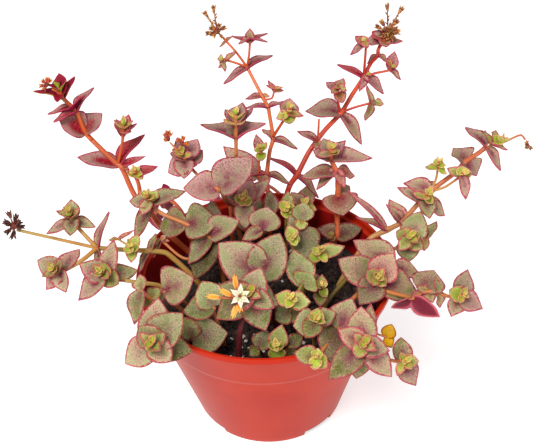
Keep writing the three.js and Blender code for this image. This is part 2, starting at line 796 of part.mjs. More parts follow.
        pairs: [
          [[338, 259, -3, 13], [421, 297, -2, 13]],
          [[394, 253, 0, 13], [359, 305, 2, 12]],
          [[366, 272, 4, 7], [386, 286, 4, 6]],
        ],
        buds: 2,
      },
      { at: [392, 268, -10], lean: [0.2, 0.4], pairs: [[[420, 274, -3, 9], [353, 240, -2, 13]]] },
      {
        at: [424, 292, -23],
        lean: [-0.1, 0.3],
        pairs: [[[434, 270, -3, 14], [410, 308, -1, 6]], [[416, 287, 2, 4], [433, 303, 2, 5]]],
      },
      { at: [438, 292, -24], lean: [0.6, 0.2], pairs: [[[436, 277, 0, 5], [440, 308, 1, 5]]] },
      {
        at: [459, 297, -26],
        lean: [0.1, 0.2],
        pairs: [[[468, 269, -1, 9], [451, 317, 0, 8]], [[483, 309, 1, 9], [449, 290, 2, 7]]],
        buds: 2,
      },
      { at: [412, 298, -25], lean: [0.3, -0.6], pairs: [[[440, 317, 1.8, 8], [391, 308, 1.2, 6]]] },
    ],
  },
  front_right_stem: {
    stems: [
      {
        root: [24, -28],
        through: [[338, 325, -36], [352, 336, -46], [362, 346, -52]],
        thick: 2.4,
        thin: 1.8,
      },
      {
        through: [[352, 336, -46], [378, 356, -54], [390, 360, -54], [402, 362, -53]],
        thick: 1.7,
        thin: 1.3,
      },
      { through: [[352, 336, -46], [374, 333, -46], [386, 337, -46]], thick: 1, thin: 0.8 },
      { through: [[338, 325, -36], [328, 343, -48], [316, 357, -56]], thick: 1.6, thin: 1.2 },
    ],
    whorls: [
      {
        at: [362, 346, -52],
        lean: [0, 0.25],
        pairs: [
          [[361, 306, -3, 12], [356, 379, 0, 10]],
          [[328, 380, -1, 11], [392, 377, -1.6, 10]],
          [[338, 329, 2, 9], [390, 351, 2, 9]],
          [[372, 337, 3.3, 6], [356, 358, 4, 6]],
        ],
        buds: 1,
      },
      {
        at: [340, 330, -42],
        lean: [-0.1, 0.3],
        pairs: [[[330, 363, 8.5, 16], [352, 297, -2, 13]]],
      },
      {
        at: [402, 362, -53],
        lean: [0.1, 0.2],
        pairs: [[[401, 337, -2, 8], [416, 386, 0, 9]], [[419, 361, 2, 6], [397, 376, 3, 4]]],
        buds: 1,
      },
      { at: [386, 337, -46], lean: [0, 0.3], pairs: [[[392, 324, 0, 6], [392, 348, 0, 5]]] },
      { at: [366, 330, -44], lean: [0.3, 0.3], pairs: [[[371, 303, -1, 6], [374, 329, 0, 5]]] },
      {
        at: [316, 358, -56],
        lean: [0, 0.3],
        pairs: [[[294, 353, 1, 8], [327, 368, 1, 6]], [[318, 348, -1, 5], [314, 370, 2, 5]]],
        buds: 1,
      },
    ],
  },
  centre_stem: {
    stems: [
      {
        root: [-12, -41],
        through: [[240, 332, -38], [247, 308, -34], [250, 296, -34]],
        thick: 3,
        thin: 2.2,
      },
      { through: [[247, 308, -34], [242, 303, -38], [240, 301, -40]], thick: 1.2, thin: 1 },
    ],
    whorls: [
      {
        at: [250, 296, -34],
        lean: [0, 0.25],
        pairs: [
          [[216, 319, -2, 12], [279, 305, -2, 12]],
          [[266, 331, 0, 12], [261, 267, 0, 11]],
          [[274, 308, 4, 8], [219, 285, 3, 8]],
          [[257, 286, 3, 6], [240, 312, 5, 6]],
        ],
        buds: 1,
      },
    ],
  },
  broad_leaf_stem: {
    stems: [
      { root: [4, -24], through: [[262, 282, -22], [261, 278, -20]], thick: 2.4, thin: 2 },
    ],
    whorls: [
      { at: [261, 278, -20], lean: [0, 0.3], pairs: [[[218, 243, 2.3, 18], [280, 233, 4, 16]]] },
    ],
  },
  front_bud_stem: {
    stems: [
      { root: [5, -42], through: [[276, 348, -46]], thick: 1.7, thin: 1.3 },
    ],
    whorls: [
      {
        at: [276, 348, -46],
        lean: [0, 0.35],
        pairs: [[[282, 324, -1, 8], [277, 362, 0.3, 7]], [[269, 345, 3, 4], [284, 343, 3, 4]]],
        buds: 1,
      },
    ],
  },
  front_middle_stem: {
    stems: [
      {
        root: [12, -30],
        through: [[302, 286, -26], [297, 294, -32], [291, 301, -36]],
        thick: 1.7,
        thin: 1.2,
      },
      { through: [[297, 294, -32], [293, 305, -33], [290, 312, -33]], thick: 1.2, thin: 1 },
    ],
    whorls: [
      {
        at: [291, 301, -36],
        lean: [0, 0.35],
        pairs: [[[275, 295, 0, 7], [311, 302, 0, 8]], [[286, 308, 3, 4], [295, 294, 3, 4]]],
        buds: 1,
      },
      { at: [302, 286, -26], lean: [0.1, 0.4], pairs: [[[293, 249, -8, 12], [312, 273, 0, 12]]] },
      { at: [290, 312, -33], lean: [0, 0.3], pairs: [[[275, 320, 0, 9], [305, 318, -1, 8]]] },
    ],
  },
  front_stem: {
    stems: [
      { root: [18, -38], through: [[316, 322, -42]], thick: 1.9, thin: 1.6 },
    ],
    whorls: [
      {
        at: [316, 322, -42],
        lean: [0, 0.3],
        pairs: [[[293, 326, 2, 12], [336, 312, -2, 8]], [[305, 338, 4, 8], [318, 308, 2, 6]]],
        buds: 2,
      },
    ],
  },
  front_low_stem: {
    stems: [
      { root: [11, -42], through: [[292, 349, -44], [289, 346, -45]], thick: 1.5, thin: 1.2 },
    ],
    whorls: [
      { at: [289, 346, -45], lean: [0.2, 0.4], pairs: [[[303, 334, -2, 6], [294, 362, -0.4, 5]]] },
    ],
  },
  red_bud_stem: {
    stems: [
      { root: [22, -14], through: [[322, 298, -20], [321, 291, -21]], thick: 1.6, thin: 1.2 },
    ],
    whorls: [
      {
        at: [321, 291, -21],
        lean: [0, 0.5],
        pairs: [[[313, 272, -2, 6], [320, 307, 3, 6]], [[322, 274, -2, 5], [327, 297, 2, 4]]],
        buds: 1,
      },
    ],
  },
  lime_bud_stem: {
    stems: [
      {
        root: [16, -4],
        through: [[312, 268, -4], [319, 259, -2], [320, 256, -1]],
        thick: 1.4,
        thin: 1.2,
      },
    ],
    whorls: [
      {
        at: [320, 256, -1],
        lean: [0, 0.5],
        pairs: [[[345, 246, 0, 7], [308, 260, 2, 6]], [[312, 247, 0, 4], [327, 262, 3, 4]]],
        buds: 2,
      },
    ],
  },
  back_bud_stem: {
    stems: [
      { root: [10, 21], through: [[286, 222, 22], [287, 210, 24]], thick: 1.6, thin: 1.3 },
    ],
    whorls: [
      {
        at: [287, 210, 24],
        lean: [0, 0.3],
        pairs: [[[288, 191, 0, 6], [288, 219, 2, 6]], [[279, 202, 2, 5], [296, 208, 2, 5]]],
        buds: 1,
      },
    ],
  },
  yellow_bud_stem: {
    stems: [
      { root: [12, 6], through: [[293, 244, 6], [293, 239, 7]], thick: 1.5, thin: 1.3 },
    ],
    whorls: [
      {
        at: [293, 239, 7],
        lean: [0, 0.3],
        pairs: [[[288, 225, 0, 6], [300, 240, 2, 5]], [[286, 238, 2, 4], [296, 246, 2, 4]]],
        buds: 1,
      },
    ],
  },
  olive_leaf_stem: {
    stems: [
      { under: true, through: [[301, 228, 15], [302, 221, 16]], thick: 1.8, thin: 1.5 },
    ],
    whorls: [
      { at: [302, 221, 16], lean: [0, 0.3], pairs: [[[304, 202, -2, 10], [300, 230, 2, 6]]] },
      { at: [301, 228, 15], lean: [-0.2, 0.3], pairs: [[[309, 260, 3, 14], [288, 217, -2, 9]]] },
    ],
  },
  back_middle_stem: {
    stems: [
      { root: [-6, 22], through: [[244, 214, 20], [244, 204, 20]], thick: 2, thin: 1.6 },
    ],
    whorls: [
      {
        at: [244, 204, 20],
        lean: [0, 0.3],
        pairs: [
          [[271, 178, -2, 7], [223, 192, 4, 6]],
          [[252, 178, -1, 9], [245, 229, 2, 9]],
          [[234, 197, 3, 5], [252, 202, 3, 5]],
        ],
        buds: 2,
      },
    ],
  },
  grey_leaf_stem: {
    stems: [
      { under: true, through: [[262, 234, 8], [262, 230, 8]], thick: 1.8, thin: 1.5 },
    ],
    whorls: [
      { at: [262, 230, 8], lean: [0, 0.3], pairs: [[[268, 207, -1, 14], [242, 240, 2, 6]]] },
    ],
  },
  back_dark_stem: {
    stems: [
      {
        under: true,
        through: [[258, 236, 26], [253, 227, 27], [272, 214, 28]],
        thick: 1.8,
        thin: 1.4,
      },
    ],
    whorls: [
      { at: [253, 227, 27], lean: [0.1, 0.3], pairs: [[[259, 193, 1, 9], [231, 219, 7.5, 9]]] },
      { at: [272, 214, 28], lean: [0, 0.4], pairs: [[[270, 190, -2, 7], [262, 236, 2, 5]]] },
    ],
  },
  back_brown_stem: {
    stems: [
      { under: true, through: [[305, 213, 36.5], [304, 208, 37]], thick: 1.8, thin: 1.5 },
    ],
    whorls: [
      {
        at: [304, 208, 37],
        lean: [0, 0.4],
        pairs: [[[309, 184, -6, 8], [298, 224, 1.3, 8]], [[291, 192, -1, 7], [317, 210, 0, 6]]],
        buds: 1,
      },
    ],
  },
  left_front_stem: {
    stems: [
      {
        root: [-29, -27],
        through: [[171, 327, -38], [161, 338, -46], [155, 344, -50]],
        thick: 2.4,
        thin: 1.8,
      },
    ],
    whorls: [
      {
        at: [155, 344, -50],
        lean: [-0.05, 0.2],
        pairs: [
          [[158, 297, -4, 13], [193, 352, -2, 11]],
          [[125, 364, 0, 12], [183, 313, 1, 14]],
          [[139, 326, 3, 10], [171, 362, 3, 10]],
          [[165, 333, 5, 5], [150, 352, 4.3, 5]],
        ],
        buds: 1,
      },
    ],
  },
  left_inner_stem: {
    stems: [
      { root: [-27, -20], through: [[168, 298, -20], [164, 291, -20]], thick: 2, thin: 1.6 },
    ],
    whorls: [
      { at: [164, 291, -20], lean: [0, 0.35], pairs: [[[194, 278, 3, 17], [149, 305, -0.8, 7]]] },
    ],
  },
  left_low_stem: {
    stems: [
      { root: [-33, -22], through: [[150, 298, -26], [141, 290, -27]], thick: 1.8, thin: 1.4 },
    ],
    whorls: [
      { at: [141, 290, -27], lean: [-0.5, 0.3], pairs: [[[134, 325, 2, 9], [140, 274, -1, 7]]] },
      { at: [150, 298, -26], lean: [0, 0.3], pairs: [[[160, 288, -1, 6], [141, 306, 1, 6]]] },
    ],
  },
  front_inner_stem: {
    stems: [
      { root: [-18, -29], through: [[214, 312, -29], [214, 307, -29]], thick: 1.8, thin: 1.5 },
    ],
    whorls: [
      { at: [214, 307, -29], lean: [0, 0.4], pairs: [[[202, 281, 1, 13], [183, 312, 0, 11]]] },
    ],
  },
  front_left_stem: {
    stems: [
      { root: [-22, -32], through: [[191, 343, -37], [192, 338, -37]], thick: 1.8, thin: 1.5 },
    ],
    whorls: [
      { at: [192, 338, -37], lean: [0, 0.4], pairs: [[[228, 333, 1, 16], [184, 317, 3.5, 8]]] },
    ],
  },
  front_shade_stem: {
    stems: [
      { root: [-1, -41], through: [[258, 348, -43]], thick: 1.6, thin: 1.3 },
    ],
    whorls: [
      { at: [258, 348, -43], lean: [0, 0.4], pairs: [[[268, 330, 0, 8], [250, 356, 0, 5]]] },
    ],
  },
};

// The flower heads: dried florets that stand out of a small core, at the ends of their stalks
const FLOWER_HEADS = {
  left_flower_head: {
    at: [13.5, 226, 12],
    core: 2.2,
    florets: [[8, 210, 0], [17, 213, 1], [2, 221, 0], [4, 235, 1], [13, 240, 2], [22, 220, 1]],
    width: 2.6,
  },
  upper_left_flower_head: {
    at: [47, 85, 54],
    core: 1.1,
    florets: [[41, 79, 0], [47, 76, 0], [38, 86, 1], [51, 78, 1], [43, 91, 1]],
    width: 1.8,
  },
  left_middle_flower_head: {
    at: [168, 139, 24],
    core: 1.4,
    florets: [[164, 132, 0], [171, 131, 0], [164, 140, 1], [168, 129, 1]],
    width: 2.2,
  },
  left_middle_second_head: {
    at: [182, 144, 24],
    core: 1.3,
    florets: [[177, 138, 0], [184, 135, 0], [189, 143, 1]],
    width: 1.8,
  },
  back_left_flower_head: {
    at: [217, 31, 88],
    core: 2,
    florets: [
      [203, 10, 0], [213, 4, 0], [204, 34, 0], [227, 26, 0], [208, 27, 1], [212, 38, 1], [220, 22, 1],
    ],
    width: 2.2,
  },
  back_right_flower_head: {
    at: [388, 32, 88],
    core: 2.4,
    florets: [
      [387, 2, 0], [403, 6, 0], [374, 25, 0], [402, 32, 1], [399, 19, 1], [380, 19, 1], [395, 40, 2],
    ],
    width: 2.6,
  },
  right_flower_head: {
    at: [527.6, 144.2, 34.2],
    core: 0.9,
    florets: [[526, 141, 1.5], [532.5, 150, 0], [526.5, 149, 1]],
    width: 1.6,
  },
  wilted_blooms: {
    at: [238, 299, -41.8],
    core: 1.6,
    florets: [[234, 273, 1], [232, 320, 3], [204, 296, 0], [218, 288, 2], [240, 314, 3]],
    width: 2.6,
  },
};

const OPEN_BLOOM = {
  at: [240, 296, -42.8],
  core: 0.9,
  florets: [[241, 283, 2], [250, 291, 2], [250, 303, 2], [241, 309, 2], [231, 304, 2], [230, 289, 2]],
  width: 3,
};

// Shoots behind the others, which hang over the back rim and the sides
const BACK_SHOOTS = {
  back_rim_shoot: {
    root: [-6, 38],
    bends: [[-7, 45, 75.5], [-9, 54, 77], [-13, 60, 71], [-18, 62, 62], [-25, 61, 53]],
    leafless: 3,
    reach: 9,
  },
  back_low_shoot: {
    root: [-1, 36],
    bends: [[-1, 45, 75.5], [0, 54, 77], [5, 60, 71], [12, 63, 61], [20, 61, 52]],
    leafless: 3,
    reach: 9,
  },
  back_left_side_shoot: {
    root: [-32, 28],
    bends: [[-35, 34, 77], [-41, 42, 80], [-47, 49, 74], [-50, 53, 64]],
    leafless: 1,
    reach: 8,
  },
  back_inner_shoot: {
    root: [-14, 33],
    bends: [[-14, 35, 72], [-14, 38, 78], [-14, 43, 84]],
    leafless: 1,
    reach: 8,
  },
};
const BACK_STEM = { thick: 2, thin: 1.5 };

const ringOf = (points, segments) => {
  const profile = points.map(([radius, height]) => new THREE.Vector2(radius, height));
  const lathe = new THREE.LatheGeometry(profile, segments);
  lathe.rotateX(Math.PI / 2);
  return solidOf(lathe);
};

const outerRadiusAt = (height) => {
  const underLip = POT.height - POT.lipHeight;
  const widest = POT.rimRadius - POT.lipStep;
  return THREE.MathUtils.lerp(POT.baseRadius, widest, height / underLip);
};

const potSolid = () => {
  const underLip = POT.height - POT.lipHeight;
  const ridge = underLip - RIDGE.below + POT.lipHeight;
  const inner = (height) => outerRadiusAt(Math.min(height, underLip)) - POT.wall;
  const { round } = POT;
  const body = ringOf([
    [0, 0],
    [POT.baseRadius - round, 0],
    [outerRadiusAt(round), round],
    [outerRadiusAt(ridge - RIDGE.height), ridge - RIDGE.height],
    [outerRadiusAt(ridge) + RIDGE.depth, ridge],
    [outerRadiusAt(underLip) + RIDGE.depth, underLip],
    [POT.rimRadius, underLip + POT.lipShoulder],
    [POT.rimRadius, POT.height - round],
    [POT.rimRadius - round, POT.height],
    [POT.rimRadius - POT.lipWall, POT.height],
    [POT.rimRadius - POT.lipWall, underLip + POT.lipShoulder],
    [inner(underLip), underLip - POT.lipShoulder],
    [inner(FLOOR_THICKNESS), FLOOR_THICKNESS],
    [0, FLOOR_THICKNESS],
  ], FACETS.pot);
  let pot = body;
  for (let drain = 0; drain < DRAIN.count; drain += 1) {
    const slot = new THREE.BoxGeometry(DRAIN.depth, DRAIN.width, DRAIN.height * 2);
    slot.translate(POT.baseRadius, 0, 0);
    slot.rotateZ(THREE.MathUtils.degToRad(DRAIN.firstAngle + (drain * 360) / DRAIN.count));
    pot = pot.subtract(solidOf(slot));
  }
  return pot;
};

const soilSolid = () => {
  const low = FLOOR_THICKNESS + GAP;
  const innerAt = (height) => outerRadiusAt(height) - POT.wall - SOIL_CLEARANCE;
  let soil = ringOf([
    [0, low],
    [innerAt(low) - DRAIN.depth / 2, low],
    [innerAt(low + DRAIN.depth), low + DRAIN.depth],
    [innerAt(SOIL_LEVEL), SOIL_LEVEL],
    [0, SOIL_LEVEL],
  ], FACETS.soil);
  const rooted = Object.values(PLANTS).flatMap(({ stems }) => stems)
    .map((stem) => ({ root: rootOf(stem), thick: stem.thick }))
    .concat(Object.values(BACK_SHOOTS).map(({ root }) => ({ root, thick: BACK_STEM.thick })));
  for (const { root, thick } of rooted) {
    if (!root) continue;
    const radius = thick / 2 + HOLE_CLEARANCE;
    const hole = new THREE.CylinderGeometry(radius, radius, ROOT_DEPTH * 2, FACETS.hole);
    hole.rotateX(Math.PI / 2);
    hole.translate(...root, SOIL_LEVEL);
    soil = soil.subtract(solidOf(hole));
  }
  return soil;
};

// The body itself, without any scrap or pinched-off hollow of a join
const whole = (solid) =>
  solid.decompose().reduce((most, piece) => (piece.volume() > most.volume() ? piece : most));

const plantSolid = (plant) => {
  const stations = stationsOf(plant);
  const shoots = plant.stems.map(({ thick, thin }, stem) => shootSolid(stations[stem], thick, thin));
  return whole(wasm.Manifold.union(shoots));
};

// A floret or petal: widest past its middle, and pointed at both ends
const floretSolid = (from, tip, width) => {
  const along = tip.clone().sub(from);
  const across = squareTo(along, nearer);
  const other = new THREE.Vector3().crossVectors(along, across).normalize();
  const widest = from.clone().addScaledVector(along, FLORET.widestAt);
  const points = [from];
  for (let corner = 0; corner < 4; corner += 1) {
    const turn = (corner * Math.PI) / 2;
    points.push(widest.clone()
      .addScaledVector(other, (width / 2) * Math.cos(turn))
      .addScaledVector(across, (width / 2) * FLORET.flat * Math.sin(turn)));
  }
  points.push(tip);
  const index = [];
  for (let corner = 0; corner < 4; corner += 1) {
    const here = 1 + corner;
    const next = 1 + ((corner + 1) % 4);
    index.push(0, here, next, 5, next, here);
  }
  return toSolid(points.flatMap((point) => point.toArray()), index);
};

const headSolid = ({ at, core, florets, width }) => {
  const centre = seen(at);
  const ball = new THREE.IcosahedronGeometry(core, 0);
  ball.translate(...centre.toArray());
  const tips = florets.map((floret) => seenBeside(floret, centre));
  return whole(wasm.Manifold.union([
    solidOf(ball),
    ...tips.map((tip) => floretSolid(centre, tip, width)),
  ]));
};

const backShootSolid = ({ root, bends, leafless, reach }) => {
  const [x, y] = root;
  const places = [[x, y, SOIL_LEVEL - ROOT_DEPTH + GAP], [x, y, SOIL_LEVEL + NECK_HEIGHT], ...bends]
    .map((place) => new THREE.Vector3(...place));
  const stations = places.map((place, order) => {
    if (order < 2 + leafless) return { place };
    const before = places[order - 1];
    const along = (places[order + 1] ?? place).clone().sub(before).normalize();
    const turn = (order * Math.PI) / 2;
    const pairs = [rulePair(place, along, turn, reach)];
    if (order === places.length - 1) {
      BACK_LEAF.young.forEach((share, level) => {
        const above = place.clone().addScaledVector(along, INTERNODE.longest * (level + 1));
        pairs.push(rulePair(above, along, turn + ((level + 1) * Math.PI) / 2, reach * share));
      });
    }
    return { place, grown: { pairs, step: INTERNODE.longest, rise: along } };
  });
  return shootSolid(stations, BACK_STEM.thick, BACK_STEM.thin);
};

const FINISHES = {
  pot: new THREE.MeshStandardMaterial({ color: 0xd2563c, roughness: 0.45, metalness: 0 }),
  soil: new THREE.MeshStandardMaterial({ color: 0x1c1512, roughness: 0.95, metalness: 0 }),
  foliage: new THREE.MeshStandardMaterial({ color: 0x8f8a5c, roughness: 0.5, metalness: 0 }),
  dried: new THREE.MeshStandardMaterial({ color: 0x8a4a2a, roughness: 0.8, metalness: 0 }),
  petals: new THREE.MeshStandardMaterial({ color: 0xf2ece4, roughness: 0.6, metalness: 0 }),
};

const named = (name, solid, finish) => {
  const mesh = new THREE.Mesh(geometryOf(solid), finish);
  mesh.name = name;
  return mesh;
};

const group = new THREE.Group();
group.add(named('pot', potSolid(), FINISHES.pot));
group.add(named('soil', soilSolid(), FINISHES.soil));
for (const [name, plant] of Object.entries(PLANTS)) {
  group.add(named(name, plantSolid(plant), FINISHES.foliage));
}
for (const [name, shoot] of Object.entries(BACK_SHOOTS)) {
  group.add(named(name, backShootSolid(shoot), FINISHES.foliage));
}
for (const [name, head] of Object.entries(FLOWER_HEADS)) {
  group.add(named(name, headSolid(head), FINISHES.dried));
}
group.add(named('open_bloom', headSolid(OPEN_BLOOM), FINISHES.petals));

export default group;
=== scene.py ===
"""Dress a potted trailing succulent: its pot, soil, leafy stems, dried flower heads and open bloom.

Lengths are in millimetres and become metres where a mesh is made. A place on the plant is given by the
column and row where the photograph's camera sees it, and by its depth behind the pot's axis.
"""

import json
import logging
import math
import random
from dataclasses import dataclass, field
from enum import Enum
from typing import Any, Callable, Sequence

import bpy
import numpy as np
from mathutils import Matrix, Vector

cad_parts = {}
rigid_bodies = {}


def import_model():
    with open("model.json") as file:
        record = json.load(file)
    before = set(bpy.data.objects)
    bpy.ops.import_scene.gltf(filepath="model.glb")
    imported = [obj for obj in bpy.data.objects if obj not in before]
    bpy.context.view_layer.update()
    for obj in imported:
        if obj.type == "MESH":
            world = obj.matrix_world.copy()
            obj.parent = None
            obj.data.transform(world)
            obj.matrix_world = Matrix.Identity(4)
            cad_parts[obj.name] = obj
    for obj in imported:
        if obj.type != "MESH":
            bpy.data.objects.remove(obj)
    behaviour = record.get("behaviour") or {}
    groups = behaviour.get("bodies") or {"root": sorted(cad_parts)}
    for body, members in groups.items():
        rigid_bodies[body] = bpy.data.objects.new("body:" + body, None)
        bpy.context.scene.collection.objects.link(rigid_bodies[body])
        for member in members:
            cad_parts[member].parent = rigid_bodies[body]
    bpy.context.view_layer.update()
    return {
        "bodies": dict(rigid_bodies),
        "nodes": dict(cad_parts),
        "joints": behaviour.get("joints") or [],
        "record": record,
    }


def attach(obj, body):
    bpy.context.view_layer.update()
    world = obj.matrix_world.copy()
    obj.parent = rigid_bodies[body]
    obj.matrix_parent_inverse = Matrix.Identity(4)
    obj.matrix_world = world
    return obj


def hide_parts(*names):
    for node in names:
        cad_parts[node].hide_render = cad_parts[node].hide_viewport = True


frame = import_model()

LOG = logging.getLogger("potted_succulent")
MM = 0.001

Piece = bpy.types.Object
Material = bpy.types.Material
Socket = bpy.types.NodeSocket
Node = bpy.types.Node
Pair = tuple[float, float]
Triple = tuple[float, float, float]
Place = Triple
Tip = tuple[float, float, float, float]
Colour = tuple[float, float, float, float]
NO_TONE: Colour = (0.0, 0.0, 0.0, 0.0)
WHITE: Colour = (1.0, 1.0, 1.0, 1.0)
LUMP_MESH = (6, 9)
LUMP_SHARE = 0.2
TENSION = 0.8


def srgb(red: int, green: int, blue: int) -> Colour:
    """Turn a colour as a screen shows it into the linear colour that a shader takes.

    Args:
        red: Red, from 0 to 255.
        green: Green, from 0 to 255.
        blue: Blue, from 0 to 255.

    Returns:
        The linear red, green and blue, with an alpha of 1.
    """
    parts = [value / 255 for value in (red, green, blue)]
    linear = [v / 12.92 if v <= 0.04045 else ((v + 0.055) / 1.055) ** 2.4 for v in parts]
    return (linear[0], linear[1], linear[2], 1.0)


def square_to(along: Vector, direction: Vector) -> Vector:
    """Give the part of a direction that stands square to another, at a length of 1."""
    return (direction - along * (direction.dot(along) / along.length_squared)).normalized()


def circle(count: int) -> list[Pair]:
    """Give the cosine and the sine of each of so many even turns."""
    turns = [math.tau * step / count for step in range(count)]
    return [(math.cos(turn), math.sin(turn)) for turn in turns]


def linked(name: str, data: bpy.types.ID) -> Piece:
    """Make an object of a mesh, a light or a camera, and put it in the scene."""
    piece = bpy.data.objects.new(name, data)
    bpy.context.collection.objects.link(piece)
    return piece


def declare(piece: Piece, slot: str, *nodes: str) -> Piece:
    """Attach a piece to the frame's root body, and hide the nodes that it stands for.

    Args:
        piece: The piece.
        slot: Not used.
        *nodes: The nodes that it stands for.

    Returns:
        The piece.
    """
    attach(piece, "root")
    if nodes:
        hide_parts(*nodes)
    return piece


def apply_modifiers(piece: Piece) -> bpy.types.Mesh:
    """Turn what a piece's modifiers make into its own plain mesh.

    Args:
        piece: The piece.

    Returns:
        The mesh.
    """
    graph = bpy.context.evaluated_depsgraph_get()
    made = bpy.data.meshes.new_from_object(piece.evaluated_get(graph), depsgraph=graph)
    piece.modifiers.clear()
    piece.data = made
    made.name = piece.name
    return made


@dataclass(frozen=True)
class Sight:
    """The camera that sees the pot's rim and base as the photograph does."""

    width: float = 533.0
    height: float = 444.0
    focal: float = 1000.0
    elevation: float = 37.67
    roll: float = -2.8
    distance: float = 406.3
    target: Place = (1.8, 0.0, 97.0)
    sensor: float = 36.0

    @property
    def nearer(self) -> Vector:
        """The direction from the pot towards the camera."""
        tilt = math.radians(self.elevation)
        return Vector((0.0, -math.cos(tilt), math.sin(tilt)))

    @property
    def rightward(self) -> Vector:
        """The direction of the frame's rows."""
        return Matrix.Rotation(math.radians(self.roll), 3, self.nearer) @ Vector((1.0, 0.0, 0.0))

    @property
    def upward(self) -> Vector:
        """The direction of the frame's columns."""
        return self.nearer.cross(self.rightward)

    @property
    def eye(self) -> Vector:
        """Where the camera stands."""
        return Vector(self.target) + self.nearer * self.distance

    def line(self, column: float, row: float) -> Vector:
        """Give the line of sight through a column and row, one unit deep."""
        across = self.rightward * ((column - self.width / 2) / self.focal)
        return across + self.upward * ((self.height / 2 - row) / self.focal) - self.nearer

    def meet(self, column: float, row: float, axis: int, value: float) -> Vector:
        """Give the place seen at a column and row where one of its coordinates has a value."""
        line = self.line(column, row)
        return self.eye + line * ((value - self.eye[axis]) / line[axis])

    def place(self, at: Place) -> Vector:
        """Give the place seen at a column and row, so far behind the pot's axis."""
        return self.meet(at[0], at[1], 1, at[2])

    def beside(self, tip: Sequence[float], place: Vector) -> Vector:
        """Give the place seen at a tip's column and row, so much nearer to the camera than another."""
        away = (self.eye - place).dot(self.nearer) - tip[2]
        return self.eye + self.line(tip[0], tip[1]) * away

    def lean(self, lean: Pair) -> Vector:
        """Give the direction that leans so far to the right and up as the camera sees it."""
        right, up = lean
        facing = math.sqrt(max(0.0, 1 - right * right - up * up))
        direction = self.rightward * right + self.upward * up + self.nearer * facing
        return direction.normalized()

    def make_camera(self) -> Piece:
        """Make the scene's camera."""
        data = bpy.data.cameras.new("camera")
        data.sensor_fit = "HORIZONTAL"
        data.sensor_width = self.sensor
        data.lens = self.focal * self.sensor / self.width
        data.clip_start = 0.01
        camera = linked("camera", data)
        turn = Matrix((self.rightward, self.upward, self.nearer)).transposed().to_4x4()
        camera.matrix_world = Matrix.Translation(self.eye * MM) @ turn
        bpy.context.scene.camera = camera
        return camera


SIGHT = Sight()
POT_HEIGHT = 72.6
SOIL_LEVEL = 57.0
ROOT_DEPTH = 8.7
NECK_HEIGHT = 2.0


def rooted(x: float, y: float) -> list[Vector]:
    """Give where a stem starts in the soil, and where it comes out of it."""
    return [Vector((x, y, SOIL_LEVEL + height)) for height in (-ROOT_DEPTH, NECK_HEIGHT)]


class Stalk(Enum):
    """The colour of a stem, from its root to its tip."""

    SCARLET = (srgb(178, 44, 30), srgb(196, 74, 44))
    CORAL = (srgb(186, 76, 36), srgb(204, 106, 62))
    EMBER = (srgb(194, 84, 32), srgb(190, 92, 54))
    AMBER = (srgb(176, 104, 48), srgb(190, 116, 66))
    GOLD = (srgb(184, 142, 80), srgb(184, 96, 60))
    TAN = (srgb(182, 130, 62), srgb(164, 136, 72))
    OLIVE = (srgb(116, 98, 42), srgb(142, 122, 54))
    MAROON = (srgb(60, 14, 22), srgb(96, 34, 34))


class Age(Enum):
    """The age of the leaves of a whorl, as the number that their skin reads."""

    MATURE = 0.0
    FRESH = 0.4
    WORN = 2.0
    TURNED = 3.0
    SCARLET = 4.0


@dataclass(frozen=True)
class Whorl:
    """Leaves on a stem, two by two from the lowest, and young pairs in their middle.

    A leaf is the column and row of its tip, how many millimetres the tip is nearer to the camera than
    the leaf's foot, and its width in millimetres.
    """

    at: Place
    lean: Pair
    tips: tuple[Tip, ...]
    buds: int = 0
    age: Age = Age.MATURE

    @property
    def pairs(self) -> list[tuple[Tip, Tip]]:
        """The leaves in pairs."""
        return list(zip(self.tips[::2], self.tips[1::2]))


@dataclass(frozen=True)
class Stem:
    """A stem: its diameter at each end, its places and whorls in order, and where it stands.

    It stands at its root, straight under its first place, or on another stem.
    """

    thick: float
    thin: float
    through: tuple[Place | Whorl, ...]
    root: Pair | None = None
    under: bool = False

    def stations(self) -> list[tuple[Vector, Whorl | None]]:
        """Give the places that the stem runs through, from its foot to its tip, and their whorls."""
        whorls = [at if isinstance(at, Whorl) else None for at in self.through]
        seen = [SIGHT.place(at.at if isinstance(at, Whorl) else at) for at in self.through]
        kept = 1 if self.under else 2 if self.root else 0
        lead = rooted(*(self.root or seen[0].xy))[:kept]
        return [*((place, None) for place in lead), *zip(seen, whorls)]


@dataclass(frozen=True)
class Plant:
    """Leafy stems that grow together, how red their leaves are, and the colour of their stems."""

    blush: float
    stalk: Stalk
    stems: tuple[Stem, ...]


@dataclass(frozen=True)
class Shoot:
    """A stem behind the others, with a pair of leaves at each place past its bare stretch."""

    root: Pair
    bends: tuple[Place, ...]
    leafless: int
    reach: float
    thick: float = 2.0
    thin: float = 1.5


